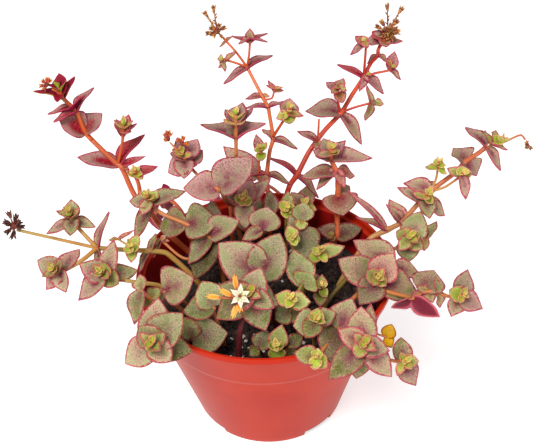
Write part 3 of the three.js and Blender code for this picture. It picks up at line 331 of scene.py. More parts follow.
PLANTS: dict[str, Plant] = {
    "left_stem": Plant(0.34, Stalk.TAN, (
        Stem(2.6, 2, ((168, 254, 4),
            Whorl((150, 251, 3), (-0.7, 0.3), ((139, 273, 0, 5), (156, 233, 0, 5))), (128, 250, 2),
            Whorl((97, 248, 0), (-0.8, 0.2), ((109, 211, -3, 6), (113, 283, 2, 6)))), root=(-24, -1)),
        Stem(1.8, 1.5, ((97, 248, 0), (81, 231, 5),
            Whorl((73, 222, 8), (-0.1, 0.6), ((46, 234, 2, 6), (96, 227, 1, 6), (71, 199, -1, 8),
                (70, 236, 6, 7)), buds=2))),
        Stem(1.9, 1.6, ((97, 248, 0), (81, 261, -6),
            Whorl((62, 271, -9), (-0.3, 0.2), ((80, 249, -6, 8), (46, 290, 2, 8), (37, 260, 1, 9),
                (66, 293, 3, 8)), buds=2))),
        Stem(1.5, 1.3, ((97, 248, 0), (57, 239, 6), (17, 230, 12))),
        Stem(1.4, 1.2, ((146, 251, 3),
            Whorl((132, 248, -2), (0, 0.2), ((131, 263, 1, 5), (138, 234, 0, 5), (124, 252, 3, 4),
                (139, 247, 3, 4)), buds=1, age=Age.FRESH))),
        Stem(1, 0.8, ((132, 248, -2),
            Whorl((118, 239, 1), (-0.5, 0.5), ((134, 230, 0, 2.4), (108, 240, 1, 2.4)), age=Age.FRESH))),
    )),
    "left_rim_stem": Plant(0.4, Stalk.TAN, (
        Stem(2, 1.6, ((163, 287, -12), (135, 282, -14),
            Whorl((106, 277, -14), (-0.1, 0.3), ((114, 239, -3, 8), (138, 270, -7, 8), (79, 264, 3, 10),
                (119, 284, 3, 8), (78, 301, 0, 9), (104, 262, 3, 7)), buds=2)), root=(-29, -13)),
    )),
    "upper_left_stem": Plant(0.92, Stalk.EMBER, (
        Stem(2.8, 2.2, ((160, 226, 23), (150, 212, 28), (135, 196, 36),
            Whorl((121, 166, 43), (0.3, 0.3), ((146, 156, 0.3, 3.5), (130, 170, 1.8, 3))),
            Whorl((118, 165, 44), (-0.5, 0.5), ((77, 157, 3, 9), (145, 134, -3, 9))),
            (92, 140, 48)), root=(-28, 20)),
        Stem(2.2, 1.6, ((92, 140, 48),
            Whorl((85, 132, 50), (-0.25, 0.55), ((59, 119, 5, 14), (102, 113, 1, 13))),
            Whorl((76, 111, 52), (-0.4, 0.7), ((94, 87, -2, 7), (53, 122, 5, 6), (47, 114, -1, 5),
                (80, 97, 7, 7))),
            Whorl((63, 98, 54), (-0.25, 0.8), ((33, 91, 2, 6), (75, 76, -2, 6), (59, 73, -2, 7),
                (57, 102, 7, 5)), buds=1, age=Age.SCARLET))),
        Stem(1.4, 1.2, ((118, 164, 44), (121, 150, 44),
            Whorl((123, 136, 44), (0.1, 0.85), ((137, 123, 1.3, 5), (116, 119, -0.5, 6),
                (129, 114, -2, 6), (129, 132, 6, 5)), buds=1))),
        Stem(2.2, 1.5, ((141, 204, 33), (139, 186, 36),
            Whorl((136, 176, 38), (0, 0.6), ((158, 166, 1, 6), (127, 171, 2, 4), (134, 166, 1, 5),
                (143, 179, 3, 4)), buds=1))),
        Stem(1.1, 1, ((63, 98, 54), (57, 92, 54), (52, 89, 54))),
    )),
    "left_middle_stem": Plant(0.45, Stalk.AMBER, (
        Stem(2.2, 1.6, (
            Whorl((212, 240, 7), (-0.35, 0.3), ((212, 199, -3, 13), (194, 280, 2, 14), (240, 220, 4, 12),
                (188, 264, 2, 9))),
            Whorl((186, 224, 13), (0, 0.3), ((159, 227, -5, 14), (219, 222, 4, 16))), (163, 214, 17),
            Whorl((151, 205, 20), (-0.1, 0.5), ((134, 241, -4, 7), (165, 192, -5, 6), (129, 201, 2, 8),
                (186, 191, 0, 8), (157, 190, -1, 6), (141, 215, 4, 6)), buds=2)), root=(-18, 8)),
        Stem(1.5, 1.1, ((208, 238, 8), (188, 259, 3),
            Whorl((161, 240, 9), (-0.5, 0.5), ((153, 258, 2, 3), (166, 235, 1.5, 3), (155, 245, 0, 2.5),
                (170, 241, 0, 2.5)), age=Age.FRESH))),
    )),
    "tall_middle_stem": Plant(0.65, Stalk.AMBER, (
        Stem(2, 1.6, ((234, 206, 28), (236, 184, 26), (236, 160, 22),
            Whorl((236, 137, 19), (0, 0.88), ((200, 124, 0, 10), (266, 123, 0, 10))),
            Whorl((236, 127, 20), (0, 0.9), ((225, 109, -2, 6), (253, 108, -3, 6), (243, 102, -2.7, 8),
                (233, 123, 6, 9)), buds=1)), root=(-9, 26)),
        Stem(1.7, 1.4, ((234, 206, 28), (224, 198, 19),
            Whorl((219, 190, 12), (-0.1, 0.4), ((183, 188, 4, 14), (253, 157, 3, 16))), (205, 182, 18),
            Whorl((188, 165, 24), (0.2, 0.3), ((197, 165, 5, 4), (184, 172, 5, 4))))),
        Stem(1, 0.8, ((187, 164, 24),
            Whorl((187, 163, 24), (0, 0.4), ((203, 150, -2, 10), (168, 173, 2, 10), (198, 139, -4, 9),
                (184, 179, 4, 9)), buds=1),
            Whorl((184, 159, 24), (-0.3, 0.6), ((177, 137, -2, 6), (170, 153, 3, 6))), (181, 155, 24),
            (177, 150, 24), (170, 142.5, 24))),
        Stem(0.9, 0.8, ((177, 150, 24), (181, 147.8, 24))),
    )),
    "back_left_stem": Plant(0.7, Stalk.CORAL, (
        Stem(2.5, 1.5, ((268, 196, 40),
            Whorl((267, 174, 47), (0, 0.9), ((243, 177, 0, 5), (290, 184, 2, 6))), (270, 150, 54),
            Whorl((273, 139, 58), (0.35, 0.75), ((262, 129, 0, 6), (298, 149, 0, 6))), (269, 112, 64),
            Whorl((268, 107, 65), (-0.2, 0.9), ((245, 108, 0, 6), (284, 101, 0, 6))),
            Whorl((262, 96, 70), (0, 0.6), ((245, 99, 1, 4), (270, 96, 1, 3))),
            Whorl((247, 67, 80), (-0.35, 0.75), ((223, 84, 0, 7), (273, 55, 0, 7)))), root=(3, 34)),
        Stem(1.2, 1, ((247, 67, 80), (236, 52, 84),
            Whorl((226, 41, 87), (-0.5, 0.7), ((219, 47, 0, 3), (233, 35, 0, 3))), (221, 35, 88))),
        Stem(1.4, 1.2, ((273, 137, 58), (280, 126, 58),
            Whorl((287, 115, 58), (0.2, 0.6), ((290, 98, -2, 9), (290, 124, 3, 7), (276, 119, 1, 5),
                (304, 116, 1, 5)), buds=1))),
        Stem(1.1, 1, ((247, 67, 80), (249, 55, 80),
            Whorl((250, 42, 80), (0, 0.9), ((232, 36, -2, 4.5), (268, 33, -4, 3.5), (238, 44, 2, 4.5),
                (268, 42, 0.5, 3.5))),
            Whorl((250, 41, 80), (0, 0.5), ((250, 28, 0, 4.5), (246, 42, 1, 3))))),
        Stem(1.1, 1, ((247, 67, 80), (236, 63, 80),
            Whorl((226, 60, 80), (-0.7, 0.3), ((218, 68, -3, 4), (236, 50, 0, 4), (225, 72, 0, 4),
                (217, 59, 0, 4)), age=Age.FRESH))),
        Stem(1, 0.8, ((264, 100, 68), (272, 98, 68),
            Whorl((274, 91, 68), (0.2, 0.7), ((268, 80, 0, 3), (284, 90, 0, 3), (266, 85, 1, 2.5),
                (283, 87, 0, 2.5))))),
        Stem(1.1, 0.9, ((259, 178, 46),
            Whorl((258, 178, 46), (-0.2, 0.5), ((223, 146, -2, 11), (271, 178, 3, 5))), (259, 165, 48),
            Whorl((260, 153, 49), (0, 0.6), ((256, 134, -1, 5), (262, 161, 2, 5), (267, 142, 1, 4),
                (254, 150, 2, 4)), buds=1))),
    )),
    "back_right_stem": Plant(0.75, Stalk.SCARLET, (
        Stem(2.9, 2, ((287, 196, 42), (290, 185, 44),
            Whorl((297, 175, 48), (0.1, 0.9), ((268, 157, 0, 5), (319, 198, 0, 6))), (309, 152, 54),
            (325, 130, 60),
            Whorl((341, 113, 66), (0.1, 0.6), ((305, 111, 2, 12), (362, 145, 1, 7))), (352, 95, 71),
            Whorl((364, 77, 77), (0.45, 0.6), ((337, 64, 1, 5), (384, 94, 3, 8), (359, 92, 0.8, 4),
                (372, 74, 0, 4)))), root=(14, 32)),
        Stem(1.9, 1.5, ((364, 76, 77), (371, 63, 81),
            Whorl((378, 55, 85), (0.3, 0.8), ((367, 64, -0.5, 4), (388, 62, 1, 5))), (378, 50, 85),
            Whorl((382, 43, 88), (0.1, 0.6), ((366, 40, 1, 10), (403, 41, 2, 5), (372, 31, -1, 8),
                (386, 47, 4, 6))), (386, 37.5, 88))),
        Stem(1.3, 1.1, ((340, 112, 66), (338, 101, 66),
            Whorl((338, 92, 66), (0, 0.6), ((326, 82, 0, 6), (343, 103, 2, 6), (344, 78, -1, 5),
                (331, 93, 3, 4), (347, 91, 1, 4), (335, 88, 3, 3))))),
        Stem(1.2, 1, ((342, 112, 66), (356, 107, 66),
            Whorl((371, 103, 66), (0.8, 0.1), ((365, 121, 0, 6), (367, 85, -1, 5), (384, 104, 1, 5),
                (372, 103, 5, 3)), age=Age.FRESH))),
        Stem(1.3, 1.1, ((364, 75, 77), (365, 60, 77),
            Whorl((366, 44, 77), (-0.4, 0.6), ((350, 55, 1, 5), (355, 36, 0, 5), (363, 36, 0, 3.5),
                (368, 48, 3, 4))))),
        Stem(1.3, 1, ((366, 76, 77), (376, 73, 77),
            Whorl((390, 70, 77), (0.2, 0.7), ((395, 51, -1, 6), (401, 80, 2, 4), (386, 58, 2, 5),
                (397, 66, 1, 4))))),
        Stem(1.1, 0.9, ((309, 152, 54), (315, 146, 53),
            Whorl((317, 141, 53), (-0.1, 0.7), ((297, 131, 0, 5), (321, 152, 2, 5))), (318, 136, 53),
            (319, 119, 55))),
    )),
    "right_middle_stem": Plant(0.7, Stalk.CORAL, (
        Stem(2.9, 2, (
            Whorl((337, 236, 27), (0, 0.4), ((317, 228, 3, 8), (362, 228, 4, 9))), (337, 215, 32),
            Whorl((338, 194, 34), (0, 0.2), ((343, 216, 4, 16), (350, 186, -4, 10))),
            Whorl((337, 173, 36), (0, 0.7), ((300, 178, 1, 9), (355, 176, -1, 8), (316, 190, -2, 6),
                (345, 188, 4, 5))),
            Whorl((331, 159, 37), (0, 0.6), ((373, 158, 1, 9), (313, 150, 1, 10), (323, 138, -3.8, 9),
                (346, 140, -1, 6), (316, 156, 4, 5), (340, 150, 2, 4)), buds=1)), root=(27, 25)),
        Stem(1.1, 1, ((337, 236, 27),
            Whorl((332, 237, 25), (-0.2, 0.7), ((327, 231, 1, 3), (334, 241, 2, 3), (332, 230, 1, 3),
                (327, 239, 2, 3))))),
    )),
    "right_stem": Plant(0.55, Stalk.GOLD, (
        Stem(2.5, 2, ((370, 239, 10),
            Whorl((387, 230, 12), (0, 0.9), ((347, 190, -3, 5), (356, 217, 3, 6))),
            Whorl((402, 222, 14), (0.3, 0.3), ((389, 199, -2, 8), (386, 204, 4, 5))), (416, 206, 17),
            (432, 190, 20), (456, 172, 24),
            Whorl((465, 162, 26), (0.45, 0.35), ((453, 148, -1, 12), (477, 176, 3, 12))), (480, 152, 29),
            Whorl((487, 146, 30), (0.55, 0.4), ((465, 127, 1, 7), (501, 171, 2, 7)))), root=(32, 3)),
        Stem(1.1, 0.9, ((490, 146, 30),
            Whorl((491, 144, 30), (0.5, 0.7), ((485, 130, 1, 5), (508, 150, 2, 5), (496, 130, -3.5, 6),
                (504, 136, 0, 6)), buds=1), (504, 142, 32), (521, 135, 34), (525, 139.5, 34))),
        Stem(1.3, 1.1, ((416, 206, 17),
            Whorl((424, 201, 15), (0.1, 0.4), ((397, 187, 2, 6), (445, 216, -2, 7), (431, 191, -3, 8),
                (430, 219, 4, 8), (412, 192, 2, 4), (433, 203, 3, 4)), buds=1))),
        Stem(1.1, 0.9, ((432, 190, 20),
            Whorl((432, 189, 20), (0.4, 0.4), ((403, 183, 3, 8), (421, 180, -4, 6))), (436, 179, 21),
            Whorl((438, 168, 21), (0, 0.7), ((425, 167, 1, 4), (447, 174, 1, 4), (436, 158, -1, 4.5),
                (446, 165, 2, 4)), buds=1))),
        Stem(1.2, 1, ((433, 191, 20), (445, 187, 19),
            Whorl((461, 176, 18), (0.1, 0.3), ((447, 168, 1, 5), (472, 172, 1, 5), (466, 200, 1, 5),
                (461, 166, 1, 6)), buds=1))),
    )),
    "right_rim_stem": Plant(0.3, Stalk.OLIVE, (
        Stem(2.2, 1.5, ((358, 268, 2), (380, 256, 4), (398, 247, 5),
            Whorl((408, 241, 5), (0, 0.3), ((421, 211, -3, 12), (409, 262, 2, 10), (396, 231, 2, 8),
                (424, 249, 3, 7), (399, 250, 3, 6), (420, 233, 3, 6)), buds=1)), root=(25, -10)),
        Stem(1.2, 1, ((398, 247, 5), (412, 250, 2),
            Whorl((425, 239, 4), (-0.6, 0.3), ((437, 221, -2, 6), (424, 251, 2, 6))))),
    )),
    "right_front_stem": Plant(0.6, Stalk.AMBER, (
        Stem(2.2, 1.8, ((362, 290, -14),
            Whorl((376, 280, -18), (0, 0.2), ((338, 259, -3, 13), (421, 297, -2, 13), (394, 253, 0, 13),
                (359, 305, 2, 12), (366, 272, 4, 7), (386, 286, 4, 6)), buds=2)), root=(29, -18)),
        Stem(1.9, 1.3, ((362, 290, -14), (384, 291, -23), (404, 296, -25),
            Whorl((412, 298, -25), (0.3, -0.6), ((440, 317, 1.8, 8), (391, 308, 1.2, 6)), age=Age.TURNED),
            Whorl((424, 292, -23), (-0.1, 0.3), ((434, 270, -3, 14), (410, 308, -1, 6), (416, 287, 2, 4),
                (433, 303, 2, 5))),
            Whorl((438, 292, -24), (0.6, 0.2), ((436, 277, 0, 5), (440, 308, 1, 5))), (447, 296, -25),
            Whorl((459, 297, -26), (0.1, 0.2), ((468, 269, -1, 9), (451, 317, 0, 8), (483, 309, 1, 9),
                (449, 290, 2, 7)), buds=2))),
        Stem(1.8, 1.4, ((362, 290, -14), (378, 276, -12),
            Whorl((392, 268, -10), (0.2, 0.4), ((420, 274, -3, 9), (353, 240, -2, 13))))),
    )),
    "front_right_stem": Plant(0.55, Stalk.AMBER, (
        Stem(2.4, 1.8, ((338, 325, -36),
            Whorl((340, 330, -42), (-0.1, 0.3), ((330, 363, 8.5, 16), (352, 297, -2, 13))),
            (352, 336, -46),
            Whorl((362, 346, -52), (0, 0.25), ((361, 306, -3, 12), (356, 379, -1.6, 10),
                (328, 380, -1, 11), (392, 377, -1.6, 10), (338, 329, 2, 9), (390, 351, 2, 9),
                (372, 337, 3.3, 6), (356, 358, 4, 6)), buds=1)), root=(24, -28)),
        Stem(1.7, 1.3, ((352, 336, -46), (378, 356, -54), (390, 360, -54),
            Whorl((402, 362, -53), (0.1, 0.2), ((401, 337, -2, 8), (416, 386, 0, 9), (419, 361, 2, 6),
                (397, 376, 3, 4)), buds=1))),
        Stem(1, 0.8, ((352, 336, -46),
            Whorl((366, 330, -44), (0.3, 0.3), ((371, 303, -1, 6), (374, 329, 0, 5))), (374, 333, -46),
            Whorl((386, 337, -46), (0, 0.3), ((392, 324, 0, 6), (392, 348, 0, 5)), age=Age.WORN))),
        Stem(1.6, 1.2, ((338, 325, -36), (328, 343, -48),
            Whorl((316, 358, -56), (0, 0.3), ((294, 353, 1, 8), (327, 368, 1, 6), (318, 348, -1, 5),
                (314, 370, 2, 5)), buds=1, age=Age.FRESH))),
    )),
    "centre_stem": Plant(0.5, Stalk.MAROON, (
        Stem(3, 2.2, ((240, 332, -38), (247, 308, -34),
            Whorl((250, 296, -34), (0, 0.25), ((216, 319, -2, 12), (279, 305, -2, 12), (266, 331, 0, 12),
                (261, 267, 0, 11), (274, 308, 4, 8), (219, 285, 3, 8), (257, 286, 3, 6),
                (240, 312, 5, 6)), buds=1)), root=(-12, -41)),
        Stem(1.2, 1, ((247, 308, -34), (242, 303, -38), (240, 301, -40))),
    )),
    "broad_leaf_stem": Plant(0.5, Stalk.MAROON, (
        Stem(2.4, 2, (
            Whorl((261, 278, -20), (0, 0.3), ((218, 243, 2.3, 18), (280, 233, 4, 16))),), root=(4, -24)),
    )),
    "front_bud_stem": Plant(0.15, Stalk.OLIVE, (
        Stem(1.7, 1.3, (
            Whorl((276, 348, -46), (0, 0.35), ((282, 324, -1, 8), (277, 362, 0.3, 7), (269, 345, 3, 4),
                (284, 343, 3, 4)), buds=1, age=Age.FRESH),), root=(5, -42)),
    )),
    "front_middle_stem": Plant(0.15, Stalk.OLIVE, (
        Stem(1.7, 1.2, (
            Whorl((302, 286, -26), (0.1, 0.4), ((293, 249, -8, 12), (312, 273, 0, 12))), (297, 294, -32),
            Whorl((291, 301, -36), (0, 0.35), ((275, 295, 0, 7), (311, 302, 0, 8), (286, 308, 3, 4),
                (295, 294, 3, 4)), buds=1, age=Age.FRESH)), root=(12, -30)),
        Stem(1.2, 1, ((297, 294, -32), (293, 305, -33),
            Whorl((290, 312, -33), (0, 0.3), ((275, 320, 0, 9), (305, 318, -1, 8))))),
    )),
    "front_stem": Plant(0.2, Stalk.OLIVE, (
        Stem(1.9, 1.6, (
            Whorl((316, 322, -42), (0, 0.3), ((293, 326, 2, 12), (336, 312, -2, 8), (305, 338, 4, 8),
                (318, 308, 2, 6)), buds=2),), root=(18, -38)),
    )),
    "front_low_stem": Plant(0.1, Stalk.OLIVE, (
        Stem(1.5, 1.2, ((292, 349, -44),
            Whorl((289, 346, -45), (0.2, 0.4), ((303, 334, -2, 6),
                (294, 362, -0.4, 5)))), root=(11, -42)),
    )),
    "red_bud_stem": Plant(0.5, Stalk.MAROON, (
        Stem(1.6, 1.2, ((322, 298, -20),
            Whorl((321, 291, -21), (0, 0.5), ((313, 272, -2, 6), (320, 307, 3, 6), (322, 274, -2, 5),
                (327, 297, 2, 4)), buds=1)), root=(22, -14)),
    )),
    "lime_bud_stem": Plant(0.15, Stalk.OLIVE, (
        Stem(1.4, 1.2, ((312, 268, -4),
            Whorl((320, 256, -1), (0, 0.5), ((345, 246, 0, 7), (308, 260, 2, 6), (312, 247, 0, 4),
                (327, 262, 3, 4)), buds=2, age=Age.FRESH)), root=(16, -4)),
    )),
    "back_bud_stem": Plant(0.35, Stalk.OLIVE, (
        Stem(1.6, 1.3, ((286, 222, 22),
            Whorl((287, 210, 24), (0, 0.3), ((288, 191, 0, 6), (288, 219, 2, 6), (279, 202, 2, 5),
                (296, 208, 2, 5)), buds=1)), root=(10, 21)),
    )),
    "yellow_bud_stem": Plant(0.2, Stalk.OLIVE, (
        Stem(1.5, 1.3, (
            Whorl((293, 239, 7), (0, 0.3), ((288, 225, 0, 6), (300, 240, 2, 5), (286, 238, 2, 4),
                (296, 246, 2, 4)), buds=1),), root=(12, 6)),
    )),
    "olive_leaf_stem": Plant(0.15, Stalk.OLIVE, (
        Stem(1.8, 1.5, (
            Whorl((301, 228, 15), (-0.2, 0.3), ((309, 260, 3, 14), (288, 217, -2, 9))),
            Whorl((302, 221, 16), (0, 0.3), ((304, 202, -2, 10), (300, 230, 2, 6)))), under=True),
    )),
    "back_middle_stem": Plant(0.6, Stalk.CORAL, (
        Stem(2, 1.6, ((244, 214, 20),
            Whorl((244, 204, 20), (0, 0.3), ((271, 178, -2, 7), (223, 192, 4, 6), (252, 178, -1, 9),
                (245, 229, 2, 9), (234, 197, 3, 5), (252, 202, 3, 5)), buds=2)), root=(-6, 22)),
    )),
    "grey_leaf_stem": Plant(0.4, Stalk.MAROON, (
        Stem(1.8, 1.5, (
            Whorl((262, 230, 8), (0, 0.3), ((268, 207, -1, 14), (242, 240, 2, 6))),), under=True),
    )),
    "back_dark_stem": Plant(0.5, Stalk.MAROON, (
        Stem(1.8, 1.4, ((258, 236, 26),
            Whorl((253, 227, 27), (0.1, 0.3), ((259, 193, 1, 9), (231, 219, 7.5, 9))),
            Whorl((272, 214, 28), (0, 0.4), ((270, 190, -2, 7), (262, 236, 2, 5)))), under=True),
    )),
    "back_brown_stem": Plant(0.7, Stalk.MAROON, (
        Stem(1.8, 1.5, ((305, 213, 36.5),
            Whorl((304, 208, 37), (0, 0.4), ((309, 184, -6, 8), (298, 224, 1.3, 8), (291, 192, -1, 7),
                (317, 210, 0, 6)), buds=1)), under=True),
    )),
    "left_front_stem": Plant(0.35, Stalk.AMBER, (
        Stem(2.4, 1.8, ((171, 327, -38), (161, 338, -46),
            Whorl((155, 344, -50), (-0.05, 0.2), ((158, 297, -4, 13), (193, 352, -2, 11),
                (125, 364, 0, 12), (183, 313, 1, 14), (139, 326, 3, 10), (171, 362, 3, 10),
                (165, 333, 5, 5), (150, 352, 4.3, 5)), buds=1)), root=(-29, -27)),
    )),
    "left_inner_stem": Plant(0.4, Stalk.AMBER, (
        Stem(2, 1.6, ((168, 298, -20),
            Whorl((164, 291, -20), (0, 0.35), ((194, 278, 3, 17),
                (149, 305, -0.8, 7)))), root=(-27, -20)),
    )),
    "left_low_stem": Plant(0.4, Stalk.AMBER, (
        Stem(1.8, 1.4, (
            Whorl((150, 298, -26), (0, 0.3), ((160, 288, -1, 6), (141, 306, 1, 6))),
            Whorl((141, 290, -27), (-0.5, 0.3), ((134, 325, 2, 9), (140, 274, -1, 7)))), root=(-33, -22)),
    )),
    "front_inner_stem": Plant(0.1, Stalk.AMBER, (
        Stem(1.8, 1.5, ((214, 312, -29),
            Whorl((214, 307, -29), (0, 0.4), ((202, 281, 1, 13), (183, 312, 0, 11)))), root=(-18, -29)),
    )),
    "front_left_stem": Plant(0.15, Stalk.MAROON, (
        Stem(1.8, 1.5, ((191, 343, -37),
            Whorl((192, 338, -37), (0, 0.4), ((228, 333, 1, 16), (184, 317, 3.5, 8)))), root=(-22, -32)),
    )),
    "front_shade_stem": Plant(0.2, Stalk.MAROON, (
        Stem(1.6, 1.3, (
            Whorl((258, 348, -43), (0, 0.4), ((268, 330, 0, 8), (250, 356, 0, 5))),), root=(-1, -41)),
    )),
}


SHOOTS: dict[str, Shoot] = {
    "back_rim_shoot": Shoot(
        (-6, 38), ((-7, 45, 75.5), (-9, 54, 77), (-13, 60, 71), (-18, 62, 62), (-25, 61, 53)),
        leafless=3, reach=9,
    ),
    "back_low_shoot": Shoot(
        (-1, 36), ((-1, 45, 75.5), (0, 54, 77), (5, 60, 71), (12, 63, 61), (20, 61, 52)),
        leafless=3, reach=9,
    ),
    "back_left_side_shoot": Shoot(
        (-32, 28), ((-35, 34, 77), (-41, 42, 80), (-47, 49, 74), (-50, 53, 64)), leafless=1, reach=8,
    ),
    "back_inner_shoot": Shoot(
        (-14, 33), ((-14, 35, 72), (-14, 38, 78), (-14, 43, 84)), leafless=1, reach=8,
    ),
}


class End(Enum):
    """How the first or the last ring of a body is closed."""

    CAP = "by one flat face"
    POLE = "by a fan round one more point"


def loop_faces(rings: int, sides: int, first: End = End.CAP,
               last: End = End.CAP) -> list[tuple[int, ...]]:
    """Give the faces of a body that is drawn as rings, each with the same number of points.

    Args:
        rings: How many rings.
        sides: How many points each ring has.
        first: How the first ring is closed, where its pole is the body's last point.
        last: How the last ring is closed, where its pole is the point after the rings.

    Returns:
        The faces, with their fronts outward where the points run anticlockwise, seen from the next ring.
    """
    count = rings * sides
    top = count - sides
    turns = [(here, (here + 1) % sides) for here in range(sides)]
    faces: list[tuple[int, ...]] = [
        (low + here, low + after, low + sides + after, low + sides + here)
        for low in range(0, top, sides) for here, after in turns
    ]
    if first is End.CAP:
        faces.append(tuple(reversed(range(sides))))
    else:
        faces += [(count + (last is End.POLE), after, here) for here, after in turns]
    if last is End.CAP:
        faces.append(tuple(range(top, count)))
    else:
        faces += [(top + here, top + after, count) for here, after in turns]
    return faces


def turned(outline: Sequence[Pair], around: int, low: float, high: float,
           lift: Callable[[int], float] | None = None) -> tuple[np.ndarray, list[tuple[int, ...]]]:
    """Turn an outline round the pot's axis, and close it at both ends.

    Args:
        outline: The radius and height of each of its points, from the bottom on.
        around: How many points each ring has.
        low: The height on the axis where it starts.
        high: The height on the axis where it ends.
        lift: What to add to the height of each point of a ring, by the ring's number.

    Returns:
        The points and the faces. The last two points are on the axis, at the end and at the start.
    """
    points = [
        (radius * x, radius * y, height + (lift(number) if lift else 0.0))
        for number, (radius, height) in enumerate(outline) for x, y in circle(around)
    ]
    points += [(0.0, 0.0, high), (0.0, 0.0, low)]
    return np.array(points), loop_faces(len(outline), around, End.POLE, End.POLE)


class MeshParts:
    """The bodies of one piece, with two maps that its materials read, and its own source of chance."""

    def __init__(self, seed: str = "") -> None:
        """Start with no bodies."""
        self.rng = random.Random(seed)
        self.points: list[np.ndarray] = []
        self.maps: list[np.ndarray] = []
        self.tones: list[np.ndarray] = []
        self.faces: list[tuple[int, ...]] = []
        self.slots: list[int] = []
        self.count = 0

    def tone(self, blush: float = 0.0) -> Colour:
        """Give the values that hold for a whole body: how red it is, and its own chance."""
        return (0.0, blush, self.rng.random(), 0.0)

    def add(self, points: np.ndarray, faces: Sequence[Sequence[int]], slot: int = 0,
            surface: np.ndarray | None = None, tone: Colour = NO_TONE) -> None:
        """Add a body.

        Args:
            points: Its vertices in millimetres, one row each.
            faces: Its faces, counted from its own first vertex.
            slot: The material slot of its faces.
            surface: Four values for each vertex, which say where it lies on the body, or nothing for 0.
            tone: Four values that hold for the whole body.
        """
        self.points.append(points)
        self.maps.append(np.zeros((len(points), 4)) if surface is None else surface)
        self.tones.append(np.tile(np.array(tone), (len(points), 1)))
        self.faces.extend(tuple(vertex + self.count for vertex in face) for face in faces)
        self.slots.extend([slot] * len(faces))
        self.count += len(points)

    def tube(self, line: Sequence[Vector], radii: Sequence[float], marks: Sequence[Colour], sides: int,
             starts: Triple, slot: int, blush: float = 0.0) -> None:
        """Add a round rod that follows a line.

        Args:
            line: The middle of each of its rings.
            radii: The radius of each ring.
            marks: The four values that each ring's points carry.
            sides: How many points each ring has.
            starts: The direction, about square to its start, in which each ring starts.
            slot: Its material slot.
            blush: How red it is.
        """
        points: list[Vector] = []
        across = Vector(starts)
        for number, (point, radius) in enumerate(zip(line, radii)):
            course = line[min(number + 1, len(line) - 1)] - line[max(number - 1, 0)]
            across = square_to(course, across)
            other = course.cross(across).normalized()
            points += [point + (across * x + other * y) * radius for x, y in circle(sides)]
        surface = np.repeat(np.array(marks), sides, axis=0)
        self.add(np.array(points), loop_faces(len(line), sides), slot, surface, self.tone(blush))

    def lump(self, centre: Vector, radius: float, rough: Pair, slot: int, squash: float = 1.0) -> None:
        """Add a small rough ball.

        Args:
            centre: Its middle.
            radius: Its radius.
            rough: The least and the greatest share of the radius that its surface is at.
            slot: Its material slot.
            squash: How high it is for its width.
        """
        rings, sides = LUMP_MESH
        points: list[Vector] = []
        for ring in range(rings):
            tilt = math.pi * (ring + 0.5) / rings
            across, high = math.sin(tilt), -squash * math.cos(tilt)
            for x, y in circle(sides):
                reach = radius * self.rng.uniform(*rough)
                points.append(centre + Vector((x * across, y * across, high)) * reach)
        surface = np.tile((LUMP_SHARE, 0.0, 0.0, 0.0), (len(points), 1))
        self.add(np.array(points), loop_faces(rings, sides), slot, surface, self.tone())

    def build(self, name: str, *materials: Material) -> Piece:
        """Make the piece as one smooth object.

        Args:
            name: The piece's name.
            *materials: The materials of its slots, in order.

        Returns:
            The object, at the origin.
        """
        mesh = bpy.data.meshes.new(name)
        mesh.from_pydata((np.concatenate(self.points) * MM).tolist(), [], self.faces)
        for label, values in (("surface_map", self.maps), ("tone", self.tones)):
            layer = mesh.color_attributes.new(label, "FLOAT_COLOR", "POINT")
            layer.data.foreach_set("color", np.concatenate(values).astype(np.float32).ravel())
        for material in materials:
            mesh.materials.append(material)
        mesh.polygons.foreach_set("material_index", self.slots)
        mesh.polygons.foreach_set("use_smooth", [True] * len(mesh.polygons))
        mesh.update()
        return linked(name, mesh)


def ease(t: Any, start: Any, end: Any, out: Any, into: Any) -> Any:
    """Go smoothly from a start to an end, with a slope at each, by a share t from 0 to 1."""
    return (start * (2 * t**3 - 3 * t**2 + 1) + out * (t**3 - 2 * t**2 + t)
            + end * (3 * t**2 - 2 * t**3) + into * (t**3 - t**2))


def smooth_path(places: Sequence[Vector], step: float) -> list[Vector]:
    """Draw a smooth line through places, with points about a step apart.

    Args:
        places: The places in order.
        step: How far apart the points are.

    Returns:
        The points, with the first and the last place among them.
    """
    line = [2 * places[0] - places[1], *places, 2 * places[-1] - places[-2]]
    points = [places[0]]
    for before, start, end, after in zip(line, line[1:], line[2:], line[3:]):
        stretch = (end - start).length
        out = (end - before).normalized() * stretch * TENSION
        into = (after - start).normalized() * stretch * TENSION
        count = max(1, round(stretch / step))
        points += [ease(number / count, start, end, out, into) for number in range(1, count + 1)]
    return points


@dataclass(frozen=True)
class LeafSpot:
    """One leaf: where it leaves the stem, which way its face looks, its tip, width and age."""

    place: Vector
    axis: Vector
    tip: Vector
    width: float
    youth: float


